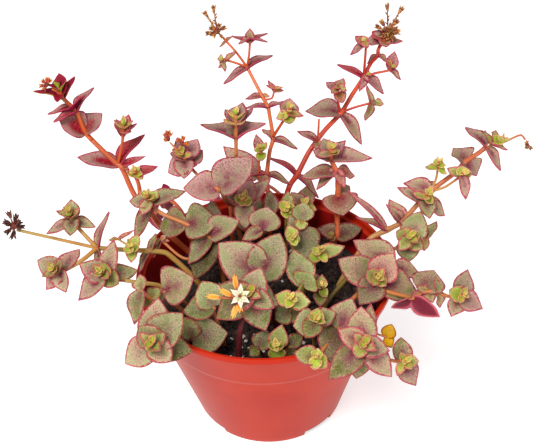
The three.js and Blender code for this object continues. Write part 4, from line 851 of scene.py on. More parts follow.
@dataclass(frozen=True)
class Growth:
    """How the pairs of a rosette follow each other up their stem."""

    longest: float = 1.8
    share: float = 0.3
    shortest: float = 0.8
    shrink: float = 0.74
    slimness: float = 0.56
    lift: float = 1.0
    lift_more: float = 0.7
    full_grown: float = 10.5
    newest: float = 3.0
    unbudded: float = 0.55
    crown: float = 1.2

    def youth(self, length: float) -> float:
        """Say how young a leaf of a growing rosette is, from 0 to 1, by its length."""
        return min(1.0, max(0.0, (self.full_grown - length) / (self.full_grown - self.newest)))

    def leaves(self, whorl: Whorl, foot: Vector,
               rise: Vector | None) -> tuple[list[LeafSpot], Vector, float]:
        """Grow the leaves of a rosette.

        Args:
            whorl: The rosette.
            foot: Where its first pair leaves the stem.
            rise: The stem's course there, or nothing where the rosette ends the stem.

        Returns:
            The leaves, the direction in which the pairs follow each other, and how far that takes them.
        """
        axis = SIGHT.lean(whorl.lean)
        rise = rise or axis
        reach = min((SIGHT.beside(tip, foot) - foot).length for tip in whorl.pairs[0])
        step = min(self.longest, max(self.shortest, reach * self.share))
        leaves: list[LeafSpot] = []
        for level, pair in enumerate(whorl.pairs):
            place = foot + rise * (level * step)
            for tip in pair:
                end = SIGHT.beside(tip, place)
                youth = self.youth((end - place).length) * (1 if whorl.buds else self.unbudded)
                leaves.append(LeafSpot(place, axis, end, tip[3], max(youth, whorl.age.value)))
        levels = len(whorl.pairs)
        along = leaves[-2].tip - leaves[-1].tip
        length = min((leaf.tip - foot).length for leaf in leaves[-2:])
        for young in range(whorl.buds + 1 if whorl.buds else 0):
            along = axis.cross(along).normalized()
            length *= self.shrink
            place = foot + rise * (levels * step)
            for way in (1, -1):
                out = along * way + axis * (self.lift + self.lift_more * young)
                tip = place + out.normalized() * length
                youth = max(self.youth(length), whorl.age.value)
                leaves.append(LeafSpot(place, axis, tip, length * self.slimness, youth))
            levels += 1
        return leaves, rise, (levels - self.crown) * step


GROWTH = Growth()


@dataclass(frozen=True)
class LeafShape:
    """The form of a leaf: a pointed egg, cupped along its middle, with a raised margin."""

    outline: tuple[Triple, ...] = (
        (0, 0.44, 0.4), (0.14, 0.84, 0.82), (0.33, 1, 1), (0.54, 0.95, 0.87), (0.74, 0.69, 0.53),
        (0.89, 0.35, 0.21), (1, 0, 0),
    )
    shares: tuple[float, ...] = (
        0, 0.05, 0.11, 0.18, 0.26, 0.35, 0.44, 0.53, 0.62, 0.7, 0.78, 0.85, 0.91, 0.96,
    )
    across: tuple[float, ...] = (-1, -0.9, -0.66, -0.34, 0, 0.34, 0.66, 0.9, 1)
    beneath: tuple[float, ...] = (0.84, 0.46, 0, -0.46, -0.84)
    thickest: float = 1.3
    thinnest: float = 0.75
    plump: float = 0.1
    cup: float = 0.28
    bud_cup: float = 0.5
    fold: float = 0.26
    arch: float = 0.07
    bud_arch: float = -0.16
    arch_fade: float = 0.35
    cup_lead: float = 0.25
    groove: float = 0.16
    groove_width: float = 0.2
    margin: float = 0.12
    margin_at: float = 0.9
    margin_width: float = 0.08
    wave: float = 0.05
    waves: float = 1.5
    tip_thinning: float = 0.45
    side_thinning: float = 0.55
    edge_drop: float = 0.2
    sharpest: float = 0.8
    cup_range: Pair = (-0.06, 0.08)
    fold_range: Pair = (0.1, 1.0)
    arch_range: Pair = (-0.04, 0.05)
    skew: float = 0.07
    map_reach: float = 3.0
    tallest: float = 60.0
    shaded: float = 48.0
    widest: float = 40.0

    def half_width(self, share: np.ndarray, sharp: float) -> np.ndarray:
        """Give half the leaf's width at each share of its length, on a smooth curve.

        Args:
            share: The shares, from 0 at the stem to 1 at the tip.
            sharp: How drawn out the tip is, from 0 to 1.

        Returns:
            The half widths, where the widest is 1.
        """
        at, blunt, pointed = np.array(self.outline).T
        wide = blunt + (pointed - blunt) * sharp
        slope = np.gradient(wide, at)
        slope[-1] = (wide[-1] - wide[-2]) / (at[-1] - at[-2])
        left = np.clip(np.searchsorted(at, share, side="right") - 1, 0, len(at) - 2)
        span = at[left + 1] - at[left]
        slopes = slope[left] * span, slope[left + 1] * span
        return ease((share - at[left]) / span, wide[left], wide[left + 1], *slopes)

    def grow(self, parts: MeshParts, leaf: LeafSpot, blush: float) -> np.ndarray:
        """Add a leaf to a piece.

        Args:
            parts: The piece's parts.
            leaf: The leaf's place, tip, width and age.
            blush: How red it is, from 0 to 1.

        Returns:
            The points of its margin in millimetres, from its base round its tip and back.
        """
        rng = parts.rng
        along = leaf.tip - leaf.place
        length = along.length
        upper = square_to(along, leaf.axis)
        side = along.cross(upper).normalized()
        s = np.array(self.across + self.beneath)[None, :]
        low = np.array([0.0] * len(self.across) + [1.0] * len(self.beneath))[None, :]
        t = np.array(self.shares)[:, None]
        half = leaf.width / 2 * self.half_width(t, rng.uniform(0.0, self.sharpest))
        edge = np.isclose(np.abs(s), 1)
        youth = leaf.youth if leaf.youth <= 1 else 0.0
        cup = self.cup + (self.bud_cup - self.cup) * youth + rng.uniform(*self.cup_range)
        fold = rng.uniform(*self.fold_range) * self.fold
        arch = self.arch + (self.bud_arch - self.arch) * youth + rng.uniform(*self.arch_range)
        phase = rng.uniform(0, math.tau)
        rise = np.sin(np.pi * np.minimum(1, t + self.cup_lead))
        height = length * arch * np.sin(np.pi * t) * (1 - self.arch_fade * t)
        height = height + half * (cup * s**2 + fold * np.abs(s)) * rise
        height = height + self.wave * half * s**4 * np.sin(t * math.tau * self.waves + phase + s)
        groove = np.exp(-((s / self.groove_width) ** 2)) * (1 - t)
        margin = np.exp(-(((np.abs(s) - self.margin_at) / self.margin_width) ** 2))
        height = height + (self.margin * margin - self.groove * groove) * (1 - low)
        plump = min(self.thickest, max(self.thinnest, length * self.plump))
        depth = plump * (1 - self.tip_thinning * t) * (1 - self.side_thinning * s**2)
        height = height - low * depth - edge * self.edge_drop
        out = half * s * (1 + rng.uniform(-self.skew, self.skew) * np.sign(s))
        forward = np.broadcast_to(length * t, out.shape)
        frame = np.array((along.normalized(), side, upper))
        points = np.stack((forward, out, height), axis=-1).reshape(-1, 3) @ frame
        points = np.vstack((points + np.array(leaf.place), np.array(leaf.tip)))
        reach = np.minimum(1, half * (1 - np.abs(s)) / self.map_reach)
        spread = [np.broadcast_to(value, out.shape).ravel() for value in (reach, t, np.abs(s), low)]
        surface = np.vstack((np.stack(spread, axis=-1), (0, 1, 1, 0)))
        rings, sides = out.shape
        # The fourth tone value says how far the leaf stands out of the canopy, by its tip's height over the
        # soil and its reach past the shaded middle; the leaf skin paints leaves deep in the canopy darker,
        # as painted shade, and those out of it paler and pinker, as painted light
        above = (leaf.tip.z - SOIL_LEVEL) / self.tallest
        beside = (math.hypot(leaf.tip.x, leaf.tip.y) - self.shaded) / self.widest
        tone = (leaf.youth, blush, rng.random(), min(1.0, max(0.0, above, beside)))
        parts.add(points, loop_faces(rings, sides, last=End.POLE), 0, surface, tone)
        far = len(self.across) - 1
        near_edge = [ring * sides for ring in range(rings)]
        far_edge = [ring * sides + far for ring in reversed(range(rings))]
        return points[[*near_edge, rings * sides, *far_edge]]


LEAF = LeafShape()
BUD_LEAF = LeafShape(
    shares=(0, 0.12, 0.28, 0.46, 0.64, 0.8, 0.92),
    across=(-1, -0.82, -0.4, 0, 0.4, 0.82, 1),
    beneath=(0.6, 0, -0.6),
    thinnest=0.5,
)
BUD_LENGTH = 4.2


@dataclass(frozen=True)
class StalkShape:
    """The form of a stem: a round rod that swells a little where leaves leave it."""

    sides: int = 10
    step: float = 1.3
    swell: float = 0.22
    swell_reach: float = 1.6
    starts: Triple = (0.9, 0.3, 0.1)

    def grow(self, parts: MeshParts, places: Sequence[Vector], thick: float, thin: float,
             nodes: Sequence[Vector], blush: float) -> None:
        """Add a stem to a piece.

        Args:
            parts: The piece's parts.
            places: The places that it runs through.
            thick: Its diameter at the foot.
            thin: Its diameter at the end.
            nodes: Where leaves leave it.
            blush: How red it is.
        """
        line = smooth_path(places, self.step)
        total = sum((end - start).length for start, end in zip(line, line[1:]))
        radii: list[float] = []
        marks: list[Colour] = []
        run = 0.0
        for number, point in enumerate(line):
            run += (point - line[max(number - 1, 0)]).length
            close = sum(math.exp(-(((point - node).length / self.swell_reach) ** 2)) for node in nodes)
            close = min(1.0, close)
            radii.append((thick + (thin - thick) * run / total) / 2 * (1 + self.swell * close))
            marks.append((run / total, 0.0, close, 0.0))
        parts.tube(line, radii, marks, self.sides, self.starts, 1, blush)


STALK = StalkShape()


@dataclass
class Foliage:
    """The leafy stems: one piece for each plant and each shoot at the back."""

    leaf: Material
    stalks: dict[Stalk, Material]
    margins: list[np.ndarray] = field(default_factory=list)
    blush_range: float = 0.15
    bead_length: float = 5.0
    back_side: Triple = (1.0, 0.3, 0.1)
    back_crown: float = 2.3
    back_lift: float = 0.35
    back_width: float = 0.75
    back_young: Triple = (1.0, 0.7, 0.35)
    back_blush: float = 0.5

    def add_leaf(self, parts: MeshParts, leaf: LeafSpot, blush: float) -> None:
        """Add a leaf, and keep its margin for the beads where it is large enough.

        Args:
            parts: The piece's parts.
            leaf: The leaf.
            blush: How red its plant is, from 0 to 1.
        """
        length = (leaf.tip - leaf.place).length
        shape = BUD_LEAF if length < BUD_LENGTH else LEAF
        blush += parts.rng.uniform(-self.blush_range, self.blush_range)
        margin = shape.grow(parts, leaf, min(1.0, max(0.0, blush)))
        if length > self.bead_length:
            self.margins.append(margin)

    def finish(self, parts: MeshParts, node: str, stalk: Stalk) -> Piece:
        """Make the piece that stands for a node of leafy stems."""
        return declare(parts.build(f"{node}_foliage", self.leaf, self.stalks[stalk]), "foliage", node)

    def plant(self, node: str, plant: Plant) -> Piece:
        """Grow a plant.

        Args:
            node: The name of the node that it stands for.
            plant: Its stems and rosettes.

        Returns:
            The piece.
        """
        parts = MeshParts(node)
        for stem in plant.stems:
            stations = stem.stations()
            places = [place for place, _ in stations]
            line = list(places)
            for number, (place, whorl) in enumerate(stations):
                if whorl is None:
                    continue
                crown = number == len(stations) - 1
                course = places[min(number + 1, len(places) - 1)] - places[max(number - 1, 0)]
                leaves, rise, height = GROWTH.leaves(whorl, place, None if crown else course.normalized())
                if crown:
                    line.append(place + rise * height)
                for leaf in leaves:
                    self.add_leaf(parts, leaf, plant.blush)
            nodes = [place for place, whorl in stations if whorl]
            STALK.grow(parts, line, stem.thick, stem.thin, nodes, plant.blush)
        return self.finish(parts, node, plant.stalk)

    def shoot(self, node: str, shoot: Shoot) -> Piece:
        """Grow a shoot at the back, whose pairs of leaves stand a quarter turn from each other.

        Args:
            node: The name of the node that it stands for.
            shoot: The shoot.

        Returns:
            The piece.
        """
        parts = MeshParts(node)
        lead = rooted(*shoot.root)
        places = [*lead, *map(Vector, shoot.bends)]
        bare = len(lead) + shoot.leafless
        line, nodes = list(places), places[bare:]
        for order, place in enumerate(nodes, start=bare):
            top = order == len(places) - 1
            ahead = place if top else places[order + 1]
            along = (ahead - places[order - 1]).normalized()
            for level, share in enumerate(self.back_young if top else self.back_young[:1]):
                start = place + along * (GROWTH.longest * level)
                turn = Matrix.Rotation((order + level) * math.pi / 2, 3, along)
                out = turn @ square_to(along, Vector(self.back_side))
                reach = shoot.reach * share
                for way in (1, -1):
                    tip = start + (out * way + along * self.back_lift).normalized() * reach
                    youth = 1 - share if top else 0.0
                    leaf = LeafSpot(start, along, tip, reach * self.back_width, youth)
                    self.add_leaf(parts, leaf, self.back_blush)
            if top:
                line.append(place + along * (GROWTH.longest * self.back_crown))
        STALK.grow(parts, line, shoot.thick, shoot.thin, nodes, self.back_blush)
        return self.finish(parts, node, Stalk.CORAL)


def put(tree: bpy.types.NodeTree, value: object, socket: Socket) -> None:
    """Give a socket a value, or join another socket to it.

    Args:
        tree: The tree that holds it.
        value: The value or the other socket.
        socket: The socket.
    """
    if isinstance(value, Socket):
        tree.links.new(value, socket)
    else:
        socket.default_value = value


class Sheet:
    """A material's nodes, which are added and joined in a few words, and its colour so far."""

    def __init__(self, name: str, body: Colour) -> None:
        """Start a material with a principled shader and its output.

        Args:
            name: The material's name.
            body: The colour that the others are laid over.
        """
        self.body: object = body
        self.material = bpy.data.materials.new(name)
        self.material.use_nodes = True
        self.tree = self.material.node_tree
        self.shader = self.tree.nodes["Principled BSDF"]

    def add(self, kind: str, **settings: object) -> Node:
        """Add a node of a kind, with its settings."""
        node = self.tree.nodes.new(f"ShaderNode{kind}")
        for name, value in settings.items():
            setattr(node, name, value)
        return node

    def fill(self, node: Node, *values: object) -> Socket:
        """Give a node's first inputs their values or joins, and give its first output."""
        for value, socket in zip(values, node.inputs):
            put(self.tree, value, socket)
        return node.outputs[0]

    def times(self, first: object, *others: object) -> object:
        """Multiply numbers."""
        total = first
        for value in others:
            total = self.fill(self.add("Math", operation="MULTIPLY"), total, value)
        return total

    def weigh(self, *terms: tuple[object, float], start: float = 0.0) -> Socket:
        """Add up numbers, each times its weight, to a start."""
        total: object = start
        for value, weight in terms:
            total = self.fill(self.add("Math", operation="MULTIPLY_ADD"), value, weight, total)
        return total

    def fade(self, value: object, start: float, end: float) -> Socket:
        """Give a number that goes smoothly from 0 at a start to 1 at an end."""
        node = self.add("MapRange", interpolation_type="SMOOTHSTEP")
        return self.fill(node, value, start, end, 0.0, 1.0)

    def mix(self, share: object, under: object, over: object) -> Socket:
        """Lay one colour over another by a share."""
        node = self.add("Mix", data_type="RGBA")
        for value, number in ((share, 0), (under, 6), (over, 7)):
            put(self.tree, value, node.inputs[number])
        return node.outputs[2]

    def coat(self, colour: object, *shares: object) -> None:
        """Lay a colour over the colour so far, by the product of its shares."""
        self.body = self.mix(self.times(*shares), self.body, colour)

    def attribute(self, name: str) -> tuple[Socket, ...]:
        """Read a map of the piece as four numbers."""
        source = self.add("Attribute", attribute_name=name)
        split = self.add("SeparateColor")
        self.fill(split, source.outputs["Color"])
        return (*split.outputs[:3], source.outputs["Alpha"])

    def spots(self, kind: str, scale: float, **settings: object) -> Node:
        """Add a pattern on the object's own coordinates, at so many repeats a metre."""
        node = self.add(f"Tex{kind}", **settings)
        put(self.tree, self.add("TexCoord").outputs["Object"], node.inputs["Vector"])
        node.inputs["Scale"].default_value = scale
        return node

    def noise(self, scale: float, detail: float = 2.0) -> Socket:
        """Give a soft noise between 0 and 1."""
        node = self.spots("Noise", scale)
        node.inputs["Detail"].default_value = detail
        return node.outputs[0]

    def bump(self, height: Socket, strength: float, distance: float) -> None:
        """Let a height stand out of the surface.

        Args:
            height: The height, from 0 to 1.
            strength: How strongly it shows.
            distance: How far it stands out at most, in millimetres.
        """
        node = self.add("Bump")
        node.inputs["Strength"].default_value = strength
        node.inputs["Distance"].default_value = distance * MM
        put(self.tree, height, node.inputs["Height"])
        put(self.tree, node.outputs[0], self.shader.inputs["Normal"])

    def finish(self, **values: object) -> Material:
        """Give the shader the colour and its other values.

        Args:
            **values: The shader's other inputs, with _ for a space in their names.

        Returns:
            The material.
        """
        for name, value in {"Base Color": self.body, **values}.items():
            put(self.tree, value, self.shader.inputs[name.replace("_", " ")])
        return self.material


@dataclass(frozen=True)
class LeafFinish:
    """The skin of a leaf: olive to grey green, flushed and freckled, with a red dotted margin, and with
    painted shade and light by its place in the canopy.
    """

    olive: Colour = srgb(96, 106, 36)
    grey: Colour = srgb(154, 166, 116)
    rose: Colour = srgb(184, 134, 120)
    mauve: Colour = srgb(170, 122, 126)
    dusk: Colour = srgb(142, 94, 92)
    flush: Colour = srgb(116, 52, 66)
    crimson: Colour = srgb(148, 36, 50)
    lime: Colour = srgb(142, 155, 70)
    lime_edge: Colour = srgb(198, 166, 118)
    worn: Colour = srgb(164, 126, 42)
    worn_edge: Colour = srgb(124, 70, 36)
    scarlet: Colour = srgb(116, 40, 50)
    turned: Colour = srgb(100, 40, 50)
    turned_edge: Colour = srgb(166, 92, 100)
    edge: Colour = srgb(156, 66, 84)
    edge_brown: Colour = srgb(152, 80, 74)
    # Painted shade of the margin on leaves deep in the canopy
    edge_in_painted_shade: Colour = srgb(106, 64, 40)
    edge_shade: Colour = srgb(108, 42, 48)
    under: Colour = srgb(140, 96, 84)
    under_red: Colour = srgb(142, 48, 74)
    freckle: Colour = srgb(64, 34, 36)
    # Pale specks: a dust, and painted glints
    pale: Colour = srgb(196, 190, 158)
    band: Pair = (0.384, 0.072)
    grain: float = 2100.0
    mottle: float = 210.0
    freckles: float = 1350.0
    ripple: float = 700.0
    dashes: float = 1100.0
    saturation: float = 1.12
    darkest: float = -0.69

    def build(self) -> Material:
        """Make the material."""
        sheet = Sheet("leaf", self.olive)
        fade, weigh, times, mix, coat = sheet.fade, sheet.weigh, sheet.times, sheet.mix, sheet.coat
        reach, along, across, beneath = sheet.attribute("surface_map")
        youth, blush, chance, height = sheet.attribute("tone")
        mottle, fine = sheet.noise(self.mottle, 3), sheet.noise(self.grain)
        # Clouds of grey green and rose, at random from leaf to leaf; leaves that stand out of the canopy
        # are painted paler and pinker, as painted light
        coat(self.grey, fade(weigh((mottle, 1.0), (chance, 0.4), (height, 0.9)), 0.56, 1.3))
        rosy = weigh((blush, 0.8), (height, 0.55), (chance, 0.35), (mottle, 1.3))
        coat(mix(fade(height, 0.3, 0.9), self.rose, self.mauve), fade(rosy, 1.02, 2.05), 0.85)
        coat(self.dusk, fade(fine, 0.42, 0.62), 0.35)
        # A flush round the leaf's foot, which floods some leaves of the reddest plants
        heart = times(fade(along, 0.8, 0.25), fade(across, 0.7, 0.0))
        coat(self.flush, heart, fade(mottle, 0.2, 0.6), fade(blush, -0.6, 0.5))
        strong = fade(weigh((fade(chance, 0.45, 0.75), 1.0), (heart, 1.6)), 0.0, 1.0)
        coat(self.crimson, strong, fade(blush, 0.7, 0.95), 0.8)
        # Dark freckles, and pale specks that are both a dust and painted glints
        dots = fade(sheet.spots("Voronoi", self.freckles).outputs[0], 0.48, 0.15)
        coat(self.freckle, dots, fade(mottle, 0.1, 0.9), 0.95)
        coat(self.pale, fade(fine, 0.55, 0.75), 0.25)
        # Young leaves are fresh green with pale edges, worn ones yellow, and a few have turned red
        young = mix(fade(reach, 0.28, 0.03), self.lime, self.lime_edge)
        coat(young, fade(youth, 0.15, 0.75), fade(along, 1.25, 0.45))
        coat(mix(fade(reach, 0.4, 0.05), self.worn, self.worn_edge), fade(youth, 1.2, 1.8))
        coat(mix(fade(reach, 0.5, 0.05), self.turned, self.turned_edge), fade(youth, 2.2, 2.8))
        coat(self.scarlet, fade(youth, 3.2, 3.8))
        # The margin is a soft crimson band with dark dashes in it; on leaves deep in the canopy it is
        # painted dim brown, as painted shade
        wavy = weigh((reach, 1.0), (sheet.noise(self.ripple), 0.4), start=-0.2)
        mature = fade(youth, 1.1, 0.35)
        lit = fade(weigh((blush, 1.0), (chance, 0.5)), 0.3, 0.8)
        edge = mix(fade(height, 0.05, 0.35), self.edge_in_painted_shade, mix(lit, self.edge_brown, self.edge))
        coat(edge, fade(wavy, self.band[0], self.band[1]), mature, 0.85)
        inner = times(fade(reach, 0.05, 0.16), fade(reach, 0.42, 0.22))
        coat(self.edge_shade, fade(sheet.noise(self.dashes, 1), 0.5, 0.62), inner, mature, 0.75)
        # The underside
        back = mix(fade(weigh((blush, 1.0), (mottle, 1.0)), 0.6, 1.2), self.under, self.under_red)
        coat(mix(fade(youth, 0.3, 0.8), back, self.lime), beneath, 0.9)
        # Lightness: a fine grain, chance from leaf to leaf and lighter young leaves, with painted shade:
        # leaves deep in the canopy and the middle of each leaf darker, the band inside the margin lighter
        value_with_painted_shade = weigh(
            (fine, 1.4), (mottle, 0.25), (chance, 0.3), (fade(height, 0.06, 0.5), 0.7),
            (fade(youth, 0.15, 0.7), 0.25), (fade(reach, 0.75, 0.1), 0.22), start=self.darkest,
        )
        toning = sheet.add("HueSaturation")
        sheet.body = sheet.fill(toning, 0.5, self.saturation, value_with_painted_shade, 1.0, sheet.body)
        sheet.bump(fine, 0.6, 0.25)
        return sheet.finish(
            Roughness=0.5, Subsurface_Weight=0.06, Subsurface_Radius=(1.0, 0.5, 0.25),
            Subsurface_Scale=0.8 * MM, Specular_IOR_Level=0.18,
        )


@dataclass(frozen=True)
class StalkFinish:
    """The skin of a stem: smooth and glossy, paler or darker towards its tip, with darker nodes."""

    node: Colour = srgb(150, 66, 44)
    streaks: float = 900.0

    def build(self, stalk: Stalk) -> Material:
        """Make the material of one colour of stem.

        Args:
            stalk: The stem's colours.

        Returns:
            The material.
        """
        root, tip = stalk.value
        sheet = Sheet(f"stem_{stalk.name.lower()}", root)
        share, _, close, _ = sheet.attribute("surface_map")
        streaks = sheet.noise(self.streaks, 3)
        sheet.coat(tip, sheet.fade(share, 0.1, 0.9))
        sheet.coat(self.node, sheet.fade(streaks, 0.5, 0.8), 0.3)
        sheet.coat(self.node, close, 0.22)
        sheet.bump(streaks, 0.25, 0.15)
        return sheet.finish(
            Roughness=0.36, Subsurface_Weight=0.1, Subsurface_Radius=(1.0, 0.4, 0.2),
            Subsurface_Scale=MM, Specular_IOR_Level=0.3,
        )


@dataclass(frozen=True)
class PlainFinish:
    """A finish of two colours in a noise, with a grain that stands out."""

    name: str
    first: Colour
    second: Colour
    scale: float
    roughness: float
    grain: float
    relief: float = 0.5

    def build(self) -> Material:
        """Make the material."""
        sheet = Sheet(self.name, self.first)
        noise = sheet.noise(self.scale, 4)
        sheet.coat(self.second, sheet.fade(noise, 0.35, 0.68))
        sheet.bump(noise, self.relief, self.grain)
        return sheet.finish(Roughness=self.roughness)


@dataclass(frozen=True)
class TonedFinish:
    """A finish whose colour runs from a base to a tip, pales to its rim, and varies from body to body."""

    name: str
    base: Colour
    tip: Colour
    dark: Colour
    roughness: float = 0.6
    rim: Colour | None = None
    blotches: float = 1400.0

    def build(self) -> Material:
        """Make the material."""
        sheet = Sheet(self.name, self.base)
        share, across, _, _ = sheet.attribute("surface_map")
        _, _, chance, _ = sheet.attribute("tone")
        noise = sheet.noise(self.blotches, 3)
        sheet.coat(self.tip, sheet.fade(share, 0.1, 0.9))
        sheet.coat(self.dark, sheet.fade(sheet.weigh((noise, 1.0), (chance, 1.0)), 0.75, 1.4), 0.8)
        if self.rim:
            sheet.coat(self.rim, sheet.fade(across, 0.5, 1.0))
        sheet.bump(noise, 0.4, 0.15)
        return sheet.finish(Roughness=self.roughness, Specular_IOR_Level=0.3)


@dataclass(frozen=True)
class PotFinish:
    """Moulded plastic: terracotta orange and satin, with faint clouds, a fine moulded grain, and painted
    shade on the inner wall.
    """

    body: Colour = srgb(172, 42, 16)
    cloud: Colour = srgb(162, 34, 12)
    lip: Colour = srgb(174, 36, 10)
    # Painted shade: the inner wall is coloured a darker red than the body
    inside: Colour = srgb(126, 14, 12)
    lip_foot: Pair = (69.0, 70.2)
    clouds: float = 42.0
    grain: float = 5200.0

    def build(self) -> Material:
        """Make the material."""
        sheet = Sheet("pot_plastic", self.body)
        split = sheet.add("SeparateXYZ")
        sheet.fill(split, sheet.add("TexCoord").outputs["Object"])
        low, high = self.lip_foot
        inner, _, _, _ = sheet.attribute("surface_map")
        fine = sheet.noise(self.grain)
        sheet.coat(self.cloud, sheet.fade(sheet.noise(self.clouds, 3), 0.35, 0.7))
        sheet.coat(self.lip, sheet.fade(split.outputs[2], low * MM, high * MM))
        # Paint the inner wall darker red, as painted shade inside the pot
        sheet.coat(self.inside, inner)
        sheet.bump(fine, 0.12, 0.05)
        return sheet.finish(
            Roughness=sheet.weigh((fine, 0.1), start=0.36), Specular_IOR_Level=0.1,
            Sheen_Weight=0.06, Sheen_Roughness=0.3,
        )


class GeometrySheet:
    """A tree of geometry nodes that strews grains, run on a piece and turned into a plain mesh."""

    def __init__(self, name: str, sizes: Pair, seed: int, material: Material) -> None:
        """Start a tree with the inputs that all of them have.

        Args:
            name: The tree's name.
            sizes: The least and the greatest radius of a grain in millimetres.
            seed: The seed of its random numbers.
            material: The grains' material.
        """
        self.tree = bpy.data.node_groups.new(name, "GeometryNodeTree")
        self.values: dict[str, object] = {}
        for way in ("INPUT", "OUTPUT"):
            self.tree.interface.new_socket("Geometry", in_out=way, socket_type="NodeSocketGeometry")
        self.source = self.tree.nodes.new("NodeGroupInput")
        self.result = self.tree.nodes.new("NodeGroupOutput")
        low, high = (self.size(word, size * MM) for word, size in zip(("Smallest", "Largest"), sizes))
        self.seed = self.size("Seed", seed, "Int")
        self.finish = self.size("Finish", material, "Material")
        self.radius = self.random(low, high)

    def size(self, name: str, value: object, kind: str = "Float") -> Socket:
        """Add a named input with its value, and give its socket."""
        item = self.tree.interface.new_socket(name, in_out="INPUT", socket_type=f"NodeSocket{kind}")
        self.values[item.identifier] = value
        return self.source.outputs[name]

    def add(self, kind: str, settings: dict[str, str] | None = None, **inputs: object) -> Node:
        """Add a node of a kind.

        Args:
            kind: Its kind.
            settings: Its own settings.
            **inputs: Values or joins for its inputs, with _ for a space in their names.

        Returns:
            The node.
        """
        node = self.tree.nodes.new(kind)
        for name, value in (settings or {}).items():
            setattr(node, name, value)
        for name, value in inputs.items():
            put(self.tree, value, node.inputs[name.replace("_", " ")])
        return node

    def random(self, low: object, high: object, kind: str = "FLOAT") -> Socket:
        """Give a random number or vector for each point.

        Args:
            low: The least.
            high: The greatest.
            kind: FLOAT or FLOAT_VECTOR.

        Returns:
            The socket that gives it.
        """
        node = self.add("FunctionNodeRandomValue", {"data_type": kind}, Seed=self.seed)
        for value, socket in zip((low, high), [socket for socket in node.inputs if socket.enabled]):
            put(self.tree, value, socket)
        return next(socket for socket in node.outputs if socket.enabled)

    def strew(self, places: Node, grain: Node, **turn: Socket) -> Socket:
        """Set a grain of a random size at each place, as plain geometry.

        Args:
            places: The node that gives the places.
            grain: The node that makes a grain with a radius of 1.
            **turn: Rotation, where the grains are turned.

        Returns:
            The socket that gives them.
        """
        placed = self.add("GeometryNodeInstanceOnPoints", Points=places.outputs[0],
                          Instance=grain.outputs[0], Scale=self.radius, **turn)
        return self.add("GeometryNodeRealizeInstances", Geometry=placed.outputs[0]).outputs[0]

    def run(self, base: Piece, made: Socket) -> Piece:
        """Dress what the tree made, and give it to a piece as its mesh.

        Args:
            base: The piece that the tree works on.
            made: The geometry.

        Returns:
            The piece.
        """
        dressed = self.add("GeometryNodeSetMaterial", Geometry=made, Material=self.finish)
        self.tree.links.new(dressed.outputs[0], self.result.inputs[0])
        modifier = base.modifiers.new(self.tree.name, "NODES")
        modifier.node_group = self.tree
        for identifier, value in self.values.items():
            modifier[identifier] = value
        mesh = apply_modifiers(base)
        mesh.polygons.foreach_set("use_smooth", [True] * len(mesh.polygons))
        return base


def plain_piece(name: str, points: Sequence[Sequence[float]], edges: Sequence[tuple[int, int]],
                faces: Sequence[Sequence[int]]) -> Piece:
    """Make an object of points, edges and faces given in millimetres, for a tree to work on."""
    mesh = bpy.data.meshes.new(name)
    mesh.from_pydata((np.array(points) * MM).tolist(), edges, faces)
    return linked(name, mesh)


@dataclass(frozen=True)
class MarginBeads:
    """The row of tiny red beads along the margin of each leaf."""

    spacing: float = 0.8
    sizes: Pair = (0.09, 0.18)
    seed: int = 7

    def build(self, margins: Sequence[np.ndarray], material: Material) -> Piece:
        """Set the beads along the margins.

        Args:
            margins: The points of each margin in millimetres.
            material: The beads' material.

        Returns:
            The piece.
        """
        points = np.concatenate(margins)
        edges: list[tuple[int, int]] = []
        start = 0
        for margin in margins:
            edges += [(start + n, start + n + 1) for n in range(len(margin) - 1)]
            start += len(margin)
        sheet = GeometrySheet("beads_along_margins", self.sizes, self.seed, material)
        curve = sheet.add("GeometryNodeMeshToCurve", Mesh=sheet.source.outputs[0])
        evenly = sheet.add("GeometryNodeResampleCurve", {"mode": "LENGTH"}, Curve=curve.outputs[0],
                           Length=sheet.size("Spacing", self.spacing * MM))
        bead = sheet.add("GeometryNodeMeshUVSphere", Segments=4, Rings=2, Radius=1.0)
        piece = plain_piece("leaf_margin_beads", points, edges, [])
        return declare(sheet.run(piece, sheet.strew(evenly, bead)), "foliage")


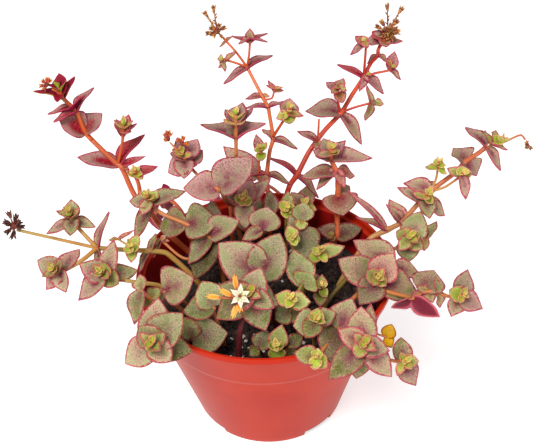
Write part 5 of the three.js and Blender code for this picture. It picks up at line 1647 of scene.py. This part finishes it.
@dataclass(frozen=True)
class Pot:
    """The round pot: a tapered wall, a thick lip over a shallow step, and drain slots in its foot."""

    height: float = POT_HEIGHT
    rim_radius: float = 54.0
    base_radius: float = 32.8
    wall: float = 1.6
    lip_height: float = 3.2
    lip_step: float = 1.3
    lip_wall: float = 1.5
    floor: float = 2.4
    ridge_below: float = 15.2
    ridge_height: float = 1.4
    ridge_depth: float = 0.4
    slots: int = 4
    first_slot: float = 38.0
    slot_width: float = 15.0
    slot_height: float = 3.2
    slot_depth: float = 3.0
    around: int = 160
    inner_rings: int = 8

    def outer(self, height: float) -> float:
        """Give the wall's outer radius at a height, without its lip."""
        under_lip = self.height - self.lip_height
        widest = self.rim_radius - self.lip_step
        return self.base_radius + (widest - self.base_radius) * height / under_lip

    def corner(self, where: Pair, before: Pair, after: Pair,
               radius: float, steps: int = 4) -> list[Pair]:
        """Round a corner of the profile.

        Args:
            where: The corner's radius and height.
            before: The profile's point before it.
            after: The profile's point after it.
            radius: How far the round reaches along each side.
            steps: How many points it has past the first.

        Returns:
            The points of the round.
        """
        point = Vector(where)
        start = point + (Vector(before) - point).normalized() * radius
        end = point + (Vector(after) - point).normalized() * radius
        shares = [number / steps for number in range(steps + 1)]
        return [tuple((start.lerp(point, t)).lerp(point.lerp(end, t), t)) for t in shares]

    def profile(self) -> list[tuple[Pair, float]]:
        """Give the corners of the wall's section and the radius that rounds each."""
        under_lip = self.height - self.lip_height
        ridge = under_lip - self.ridge_below
        ridge_foot = ridge - self.ridge_height
        inside = self.outer(under_lip) - self.wall
        lip_inside = self.rim_radius - self.lip_wall
        low = self.slot_height + 1
        steps = [low + (ridge - 3 - low) * number / 6 for number in range(7)]
        return [
            ((self.base_radius, 0), 0.8),
            *(((self.outer(height), height), 0.0) for height in steps),
            ((self.outer(ridge_foot), ridge_foot), 0.6),
            ((self.outer(ridge) + self.ridge_depth, ridge), 0.6),
            ((self.outer(under_lip) + self.ridge_depth, under_lip), 0.3),
            ((self.rim_radius, under_lip + 0.5), 0.35),
            ((self.rim_radius + 0.2, self.height), 0.7),
            ((lip_inside, self.height), 0.5),
            ((lip_inside, under_lip + 0.4), 0.3),
            ((inside, under_lip - 0.5), 0.3),
            ((self.outer(self.floor) - self.wall, self.floor), 1.0),
        ]

    def build(self, material: Material) -> Piece:
        """Turn the profile round the pot's axis and cut the drain slots.

        Args:
            material: The pot's material.

        Returns:
            The piece.
        """
        corners = self.profile()
        places = [(0.0, 0.0), *(where for where, _ in corners), (0.0, self.floor)]
        line: list[Pair] = []
        for number, (where, radius) in enumerate(corners, start=1):
            rounded = self.corner(where, places[number - 1], places[number + 1], radius)
            line += rounded if radius else [where]
        points, faces = turned(line, self.around, 0.0, self.floor)
        surface = np.zeros((len(points), 4))
        # The inner wall's rings are marked, for the finish's painted shade
        inside = (len(line) - self.inner_rings) * self.around
        surface[inside:-1, 0] = 1.0
        parts = MeshParts()
        parts.add(points, faces, 0, surface)
        piece = parts.build("pot_shell", material)
        self.cut_slots(piece)
        return declare(piece, "pot", "pot")

    def cut_slots(self, piece: Piece) -> None:
        """Cut the drain slots through the foot of the wall.

        Args:
            piece: The pot.
        """
        cutter = MeshParts()
        for slot in range(self.slots):
            turn = Matrix.Rotation(math.radians(self.first_slot) + math.tau * slot / self.slots, 3, "Z")
            out, wide, high = self.slot_depth, self.slot_width / 2, self.slot_height
            ring = [(-out, -wide, -high), (out, -wide, -high), (out, -wide, high), (-out, -wide, high)]
            far = [(x, -y, z) for x, y, z in ring]
            box = [turn @ Vector((x + self.base_radius, y, z)) for x, y, z in ring + far]
            cutter.add(np.array(box), [face[::-1] for face in loop_faces(2, 4)])
        tool = cutter.build("slot_cutter")
        modifier = piece.modifiers.new("slots", "BOOLEAN")
        modifier.operation = "DIFFERENCE"
        modifier.solver = "EXACT"
        modifier.object = tool
        apply_modifiers(piece).set_sharp_from_angle(angle=math.radians(35))
        bpy.data.objects.remove(tool)


@dataclass(frozen=True)
class Soil:
    """The potting soil: a lumpy body under a bed of crumbs, with grains of white perlite."""

    pot: Pot
    clearance: float = 0.5
    low: float = 2.7
    foot_height: float = 6.0
    rings: int = 40
    around: int = 96
    lump: float = 0.7
    crumbs: float = 0.3
    fines: float = 0.62
    perlite: float = 0.009
    bed_margin: float = 1.2
    roughness: float = 3.2
    rough_scale: float = 0.55
    seen_perlite: tuple[Triple, ...] = (
        (243, 338, 2.2), (246, 342, 1.6), (254, 336, 1.8), (241, 348, 1.7), (226, 357, 1.3),
        (231, 358, 1.6), (238, 358, 1.2), (249, 349, 1.3), (186, 346, 1.6),
    )

    def radius(self, height: float) -> float:
        """Give the soil's radius at a height."""
        return self.pot.outer(height) - self.pot.wall - self.clearance

    def build(self, soil: Material, crumb: Material, perlite: Material) -> list[Piece]:
        """Make the body of the soil and what lies on it.

        Args:
            soil: The body's material.
            crumb: The crumbs' material.
            perlite: The perlite's material.

        Returns:
            The pieces.
        """
        parts = MeshParts("soil")
        top = self.radius(SOIL_LEVEL)
        foot = self.low + self.foot_height
        outline = [(self.radius(self.low) - self.pot.slot_depth, self.low), (self.radius(foot), foot)]
        outline += [(top * (1 - ring / self.rings), SOIL_LEVEL) for ring in range(self.rings)]

        def lift(number: int) -> float:
            """Say how far a point of the top lies above or below its level."""
            return parts.rng.uniform(-self.lump, self.lump * 0.6) if number > 2 else 0.0

        parts.add(*turned(outline, self.around, self.low, SOIL_LEVEL, lift))
        return [
            declare(parts.build("soil_body", soil), "soil", "soil"),
            self.scatter("soil_crumbs", self.crumbs, (0.7, 1.5), 2, 3, crumb),
            self.scatter("soil_fines", self.fines, (0.35, 0.8), 1, 4, soil),
            self.scatter("perlite_grains", self.perlite, (0.6, 1.3), 3, 5, perlite),
            self.perlite_by_sight(perlite),
        ]

    def bed(self, name: str) -> Piece:
        """Make the flat bed that grains are scattered on."""
        radius = self.radius(SOIL_LEVEL) - self.bed_margin
        points = [(radius * x, radius * y, SOIL_LEVEL) for x, y in circle(self.around)]
        return plain_piece(name, points, [], [tuple(range(self.around))])

    def scatter(self, name: str, density: float, sizes: Pair, fineness: int, seed: int,
                material: Material) -> Piece:
        """Scatter rough grains over the soil.

        Args:
            name: The piece's name.
            density: Grains for each square millimetre.
            sizes: The smallest and the largest radius.
            fineness: How finely each grain is divided.
            seed: The seed of their places, turns and sizes.
            material: Their material.

        Returns:
            The piece.
        """
        sheet = GeometrySheet(f"{name}_scattered", sizes, seed, material)
        spread = sheet.add("GeometryNodeDistributePointsOnFaces", Mesh=sheet.source.outputs[0],
                           Density=sheet.size("Density", density / MM**2), Seed=sheet.seed)
        grain = sheet.add("GeometryNodeMeshIcoSphere", Subdivisions=fineness, Radius=1.0)
        turn = sheet.random((0.0, 0.0, 0.0), (math.tau,) * 3, "FLOAT_VECTOR")
        grains = sheet.strew(spread, grain, Rotation=turn)
        largest = sizes[1] * MM
        rough = sheet.add("ShaderNodeTexNoise", Scale=self.rough_scale / largest, Detail=1.0)
        centred = sheet.add("ShaderNodeVectorMath", {"operation": "SUBTRACT"},
                            Vector=rough.outputs["Color"])
        centred.inputs[1].default_value = (0.5, 0.5, 0.5)
        sized = sheet.add("ShaderNodeVectorMath", {"operation": "SCALE"}, Vector=centred.outputs[0],
                          Scale=self.roughness * largest)
        moved = sheet.add("GeometryNodeSetPosition", Geometry=grains, Offset=sized.outputs[0])
        return declare(sheet.run(self.bed(name), moved.outputs[0]), "soil")

    def perlite_by_sight(self, material: Material) -> Piece:
        """Lay the few large grains of perlite where the photograph shows them.

        Args:
            material: Their material.

        Returns:
            The piece.
        """
        parts = MeshParts("perlite")
        for column, row, size in self.seen_perlite:
            centre = SIGHT.meet(column, row, 2, SOIL_LEVEL) + Vector((0, 0, size * 0.3))
            parts.lump(centre, size / 2, (0.78, 1.2), 0, squash=0.8)
        return declare(parts.build("perlite_chips", material), "soil")


class Bloom(Enum):
    """What the florets of a head have become."""

    HUSK = "dark brown husks with spread points"
    TAN = "pale brown husks"
    EMBER = "small orange and red buds"
    WILTED = "orange petals that have shrunk to spindles"
    OPEN = "white petals spread as a star"


@dataclass(frozen=True)
class Head:
    """A flower head: where it is seen, the size of its core, and the tip of each floret."""

    at: Place
    core: float
    florets: tuple[Place, ...]
    width: float
    bloom: Bloom
    crowd: int = 0


HEADS: dict[str, Head] = {
    "left_flower_head": Head(
        (13.5, 226, 12), 2.2, ((8, 210, 0), (17, 213, 1), (2, 221, 0), (4, 235, 1), (13, 240, 2),
        (22, 220, 1)), width=2.6, bloom=Bloom.HUSK, crowd=9,
    ),
    "upper_left_flower_head": Head(
        (47, 85, 54), 1.1, ((41, 79, 0), (47, 76, 0), (38, 86, 1), (51, 78, 1), (43, 91, 1)),
        width=1.8, bloom=Bloom.EMBER,
    ),
    "left_middle_flower_head": Head(
        (168, 139, 24), 1.4, ((164, 132, 0), (171, 131, 0), (164, 140, 1), (168, 129, 1)),
        width=2.2, bloom=Bloom.EMBER,
    ),
    "left_middle_second_head": Head(
        (182, 144, 24), 1.3, ((177, 138, 0), (184, 135, 0), (189, 143, 1)), width=1.8, bloom=Bloom.EMBER,
    ),
    "back_left_flower_head": Head(
        (217, 31, 88), 2, ((203, 10, 0), (213, 4, 0), (204, 34, 0), (227, 26, 0), (208, 27, 1),
        (212, 38, 1), (220, 22, 1)), width=2.2, bloom=Bloom.TAN, crowd=7,
    ),
    "back_right_flower_head": Head(
        (388, 32, 88), 2.4, ((387, 2, 0), (403, 6, 0), (374, 25, 0), (402, 32, 1), (399, 19, 1),
        (380, 19, 1), (395, 40, 2)), width=2.6, bloom=Bloom.TAN, crowd=22,
    ),
    "right_flower_head": Head(
        (527.6, 144.2, 34.2), 0.9, ((526, 141, 1.5), (532.5, 150, 0), (526.5, 149, 1)),
        width=1.6, bloom=Bloom.TAN, crowd=2,
    ),
    "wilted_blooms": Head(
        (238, 299, -41.8), 1.6, ((234, 273, 1), (232, 320, 3), (204, 296, 0), (218, 288, 2), (240, 314, 3)),
        width=2.6, bloom=Bloom.WILTED,
    ),
    "open_bloom": Head(
        (240, 296, -42.8), 0.9, ((241, 283, 2), (250, 291, 2), (250, 303, 2), (241, 309, 2), (231, 304, 2),
        (230, 289, 2)), width=3, bloom=Bloom.OPEN,
    ),
}


@dataclass
class FlowerHeads:
    """The flower heads at the ends of the stalks, made one after another."""

    finishes: dict[Bloom, Material]
    core: Material
    blade_shares: tuple[float, ...] = (0.0, 0.15, 0.35, 0.55, 0.75, 0.9)
    blade_foot: float = 0.35
    blade_bend: float = 0.08
    blade_plump: float = 0.16
    blade_thinnest: float = 0.3
    rod_shares: tuple[float, ...] = (0.0, 0.25, 0.5, 0.75, 1.0)
    rod_ends: float = 0.75
    rod_bulge: float = 0.4
    rod_sides: int = 6
    rod_starts: Triple = (0.4, 0.3, 0.9)
    points: int = 5
    husk_length: float = 3.6
    husk_stalk: Pair = (0.8, 0.6)
    spindle_length: float = 6.0
    spindle_stalk: Pair = (1.0, 0.9)
    stalk_reach: float = 0.4
    bare_stalk: float = 5.0
    bracts: tuple[float, ...] = (0.35, 0.5, 0.65, 0.8, 0.92)
    bract: Triple = (1.6, 1.4, 1.2)
    petal: float = 0.72
    stamen: Pair = (0.35, 0.3)
    anther: Pair = (0.6, 0.5)
    anther_length: float = 0.5
    parts: MeshParts = field(default_factory=MeshParts)

    def blade(self, start: Vector, tip: Vector, facing: Vector, width: float, hollow: float) -> None:
        """Add a pointed blade, such as a petal.

        Args:
            start: Its foot.
            tip: Its point.
            facing: The side that its face looks to.
            width: Its greatest width.
            hollow: How far its middle is sunk, as a share of its width.
        """
        along = tip - start
        length = along.length
        upper = square_to(along, facing)
        side = along.cross(upper).normalized()
        points: list[Vector] = []
        surface: list[Colour] = []
        for share in self.blade_shares:
            swell = math.sin(math.pi * min(1.0, share * 1.15) ** 0.9)
            half = width / 2 * (self.blade_foot + (1 - self.blade_foot) * swell)
            half *= 1 if share < 0.6 else (1.12 - share) / 0.52
            bend = math.sin(math.pi * share) * length * self.blade_bend
            thick = max(self.blade_thinnest, width * self.blade_plump) * (1 - 0.5 * share)
            middle = start + along * share + upper * bend
            sunk = hollow * half
            flank = sunk * 0.75
            section = ((-1, 0), (-0.5, flank), (0, sunk), (0.5, flank), (1, 0),
                       (0.5, flank + thick), (-0.5, flank + thick))
            for across, drop in section:
                points.append(middle + side * (across * half) - upper * drop)
                surface.append((share, abs(across), 0.0, 0.0))
        faces = loop_faces(len(self.blade_shares), len(section), last=End.POLE)
        points.append(tip)
        surface.append((1.0, 0.0, 0.0, 0.0))
        self.parts.add(np.array(points), faces, 0, np.array(surface), self.parts.tone())

    def rod(self, start: Vector, end: Vector, thick: float, thin: float, slot: int = 0) -> None:
        """Add a thin round rod, which bulges a little in its middle.

        Args:
            start: Its foot.
            end: Its end.
            thick: Its diameter at the foot.
            thin: Its diameter at the end.
            slot: Its material slot.
        """
        line = [start.lerp(end, share) for share in self.rod_shares]
        marks = [(share, 0.0, 0.0, 0.0) for share in self.rod_shares]
        radii = [
            (thick + (thin - thick) * share) / 2
            * (self.rod_ends + self.rod_bulge * math.sin(math.pi * share)) for share in self.rod_shares
        ]
        self.parts.tube(line, radii, marks, self.rod_sides, self.rod_starts, slot)

    def husk(self, start: Vector, tip: Vector, width: float) -> None:
        """Add a dried floret: a thin stalk, a cup and its spread points.

        Args:
            start: Where its stalk leaves the core.
            tip: The middle of its points.
            width: Its width.
        """
        rng = self.parts.rng
        ahead = (tip - start).normalized()
        length = min(self.husk_length, (tip - start).length * 0.8)
        cup = tip - ahead * length
        across = square_to(ahead, SIGHT.nearer)
        self.rod(start, cup + ahead * self.stalk_reach, *self.husk_stalk, 1)
        away, along, wide = self.bract
        for share in self.bracts if (cup - start).length > self.bare_stalk else ():
            foot = start.lerp(cup, share)
            out = Matrix.Rotation(rng.uniform(0, math.tau), 3, ahead) @ across
            self.blade(foot, foot + out * away + ahead * along, -out, wide, 0.4)
        self.rod(cup, cup + ahead * (length * 0.55), width * 0.55, width * 0.62)
        for point in range(self.points):
            turn = Matrix.Rotation(math.tau * (point + rng.uniform(-0.2, 0.2)) / self.points, 3, ahead)
            out = turn @ across
            foot = cup + ahead * (length * 0.35) + out * (width * 0.22)
            end = cup + ahead * (length * rng.uniform(0.85, 1.0)) + out * (width * rng.uniform(0.35, 0.7))
            self.blade(foot, end, -out, width * 0.45, 0.4)

    def spindle(self, start: Vector, tip: Vector, width: float) -> None:
        """Add a wilted floret: a thin stalk, and petals stuck together, with their points apart.

        Args:
            start: Where its stalk leaves the core.
            tip: The middle of its points.
            width: Its width.
        """
        ahead = (tip - start).normalized()
        length = min(self.spindle_length, (tip - start).length * 0.7)
        foot = tip - ahead * length
        self.rod(start, foot + ahead * self.stalk_reach, *self.spindle_stalk, 1)
        across = square_to(ahead, SIGHT.nearer)
        side = ahead.cross(across).normalized()
        for way in (-1, 0, 1):
            spread = side * (way * width * self.parts.rng.uniform(0.25, 0.5))
            end = tip - ahead * (length * 0.14 * abs(way)) + spread
            start = foot + side * (way * width * 0.12)
            self.blade(start, end, across - side * (way * 0.5), width * 0.55, 0.2)

    def star(self, centre: Vector, tips: Sequence[Vector], width: float) -> None:
        """Add an open floret: its petals, and stamens that stand up round its middle.

        Args:
            centre: Its middle.
            tips: The points of its petals.
            width: The width that its petals are a share of.
        """
        for tip in tips:
            self.blade(centre.lerp(tip, 0.06), tip, SIGHT.nearer, width * self.petal, 0.22)
        mean = sum((tip - centre).length for tip in tips) / len(tips)
        for tip in tips:
            out = square_to(SIGHT.nearer, tip - centre)
            end = centre + out * (mean * 0.34) + SIGHT.nearer * (mean * 0.42)
            self.rod(centre + out * 0.5, end, *self.stamen)
            self.rod(end, end + SIGHT.nearer * self.anther_length, *self.anther)

    def build(self, node: str, head: Head) -> Piece:
        """Make a flower head.

        Args:
            node: The name of the node that it stands for.
            head: Its place, core and florets.

        Returns:
            The piece.
        """
        self.parts = MeshParts(node)
        rng = self.parts.rng
        centre = SIGHT.place(head.at)
        tips = [SIGHT.beside(floret, centre) for floret in head.florets]
        self.parts.lump(centre, head.core * 0.8, (0.75, 1.05), 1)
        if head.bloom is Bloom.OPEN:
            self.star(centre, tips, head.width)
        else:
            floret = self.spindle if head.bloom is Bloom.WILTED else self.husk
            for tip in tips:
                floret(centre, tip, head.width)
        # Small dried florets crowd round the middle
        for _ in range(head.crowd):
            ahead = Vector([rng.gauss(0, 1) for _ in range(3)]).normalized()
            tip = centre + ahead * (head.core * rng.uniform(1.3, 2.5))
            self.husk(centre + ahead * (head.core * 0.3), tip, head.width * 0.7)
        slot = "petals" if head.bloom is Bloom.OPEN else "dried_flowers"
        piece = self.parts.build(f"{node}_florets", self.finishes[head.bloom], self.core)
        return declare(piece, slot, node)


@dataclass(frozen=True)
class Lamp:
    """A square light: its place and the length of its sides in metres, and its power in watts."""

    name: str
    place: Place
    size: float
    power: float


@dataclass(frozen=True)
class Studio:
    """The pale floor and the soft lights of the photograph."""

    floor_size: float = 6.0
    floor: Colour = (0.72, 0.72, 0.72, 1.0)
    sky: float = 0.45
    glow: float = 0.55
    aim: Place = (0.0, 0.0, 0.08)
    lamps: tuple[Lamp, ...] = (
        Lamp("key", (-0.35, -0.6, 1.1), 0.5, 15.5),
        Lamp("fill", (0.55, -0.9, 0.45), 0.8, 3.6),
    )

    def light(self, lamp: Lamp) -> None:
        """Add a light that shines at the middle of the plant."""
        data = bpy.data.lights.new(lamp.name, "AREA")
        data.size = lamp.size
        data.energy = lamp.power
        piece = linked(lamp.name, data)
        piece.location = lamp.place
        toward = Vector(self.aim) - Vector(lamp.place)
        piece.rotation_euler = toward.to_track_quat("-Z", "Y").to_euler()

    def build(self) -> None:
        """Make the floor, the sky and the lights."""
        half = self.floor_size / 2
        corners = [(-half, -half, 0.0), (half, -half, 0.0), (half, half, 0.0), (-half, half, 0.0)]
        mesh = bpy.data.meshes.new("floor")
        mesh.from_pydata(corners, [], [(0, 1, 2, 3)])
        mesh.materials.append(Sheet("floor", self.floor).finish(
            Roughness=0.9, Emission_Color=WHITE, Emission_Strength=self.glow,
        ))
        linked("floor", mesh)
        world = bpy.data.worlds.new("studio")
        world.use_nodes = True
        colour, strength = world.node_tree.nodes["Background"].inputs[:2]
        colour.default_value, strength.default_value = WHITE, self.sky
        bpy.context.scene.world = world
        bpy.context.scene.view_settings.view_transform = "Standard"
        for lamp in self.lamps:
            self.light(lamp)


def main() -> None:
    """Dress the frame."""
    LOG.info("frame: %d nodes", len(frame["nodes"]))
    SIGHT.make_camera()
    Studio().build()
    pot = Pot()
    pieces = [pot.build(PotFinish().build())]
    soil = PlainFinish(
        "soil", srgb(24, 18, 16), srgb(52, 38, 32), scale=700.0, roughness=0.95, grain=0.4,
    )
    crumb = PlainFinish(
        "soil_crumb", srgb(38, 27, 23), srgb(76, 55, 44), scale=420.0, roughness=0.9, grain=0.3,
    )
    perlite = PlainFinish(
        "perlite", srgb(232, 228, 220), srgb(196, 188, 178), scale=900.0, roughness=0.85, grain=0.3,
        relief=0.6,
    )
    pieces += Soil(pot).build(soil.build(), crumb.build(), perlite.build())
    foliage = Foliage(LeafFinish().build(), {stalk: StalkFinish().build(stalk) for stalk in Stalk})
    pieces += [foliage.plant(node, plant) for node, plant in PLANTS.items()]
    pieces += [foliage.shoot(node, shoot) for node, shoot in SHOOTS.items()]
    red = srgb(148, 60, 76)
    bead = TonedFinish("margin_bead", red, red, srgb(108, 38, 46), 0.5)
    pieces.append(MarginBeads().build(foliage.margins, bead.build()))
    blooms = {
        Bloom.HUSK: TonedFinish("husk", srgb(120, 70, 56), srgb(92, 52, 42), srgb(38, 20, 22)),
        Bloom.TAN: TonedFinish("tan_husk", srgb(150, 74, 44), srgb(214, 160, 84), srgb(82, 30, 26)),
        Bloom.EMBER: TonedFinish("ember_bud", srgb(168, 62, 38), srgb(226, 136, 44), srgb(132, 40, 44)),
        Bloom.WILTED: TonedFinish("wilted_petal", srgb(224, 124, 26), srgb(232, 146, 40),
                                  srgb(236, 160, 60), rim=srgb(246, 200, 120)),
        Bloom.OPEN: TonedFinish("white_petal", srgb(186, 184, 112), srgb(236, 230, 204),
                                srgb(232, 206, 182), rim=srgb(244, 238, 222)),
    }
    core = TonedFinish("flower_core", srgb(126, 54, 42), srgb(176, 100, 60), srgb(92, 36, 34))
    heads = FlowerHeads({bloom: finish.build() for bloom, finish in blooms.items()}, core.build())
    pieces += [heads.build(node, head) for node, head in HEADS.items()]
    for piece in pieces:
        LOG.info("%s: %d faces", piece.name, len(piece.data.polygons))


if __name__ == "__main__":
    logging.basicConfig(level=logging.INFO, format="%(name)s: %(message)s")
    main()
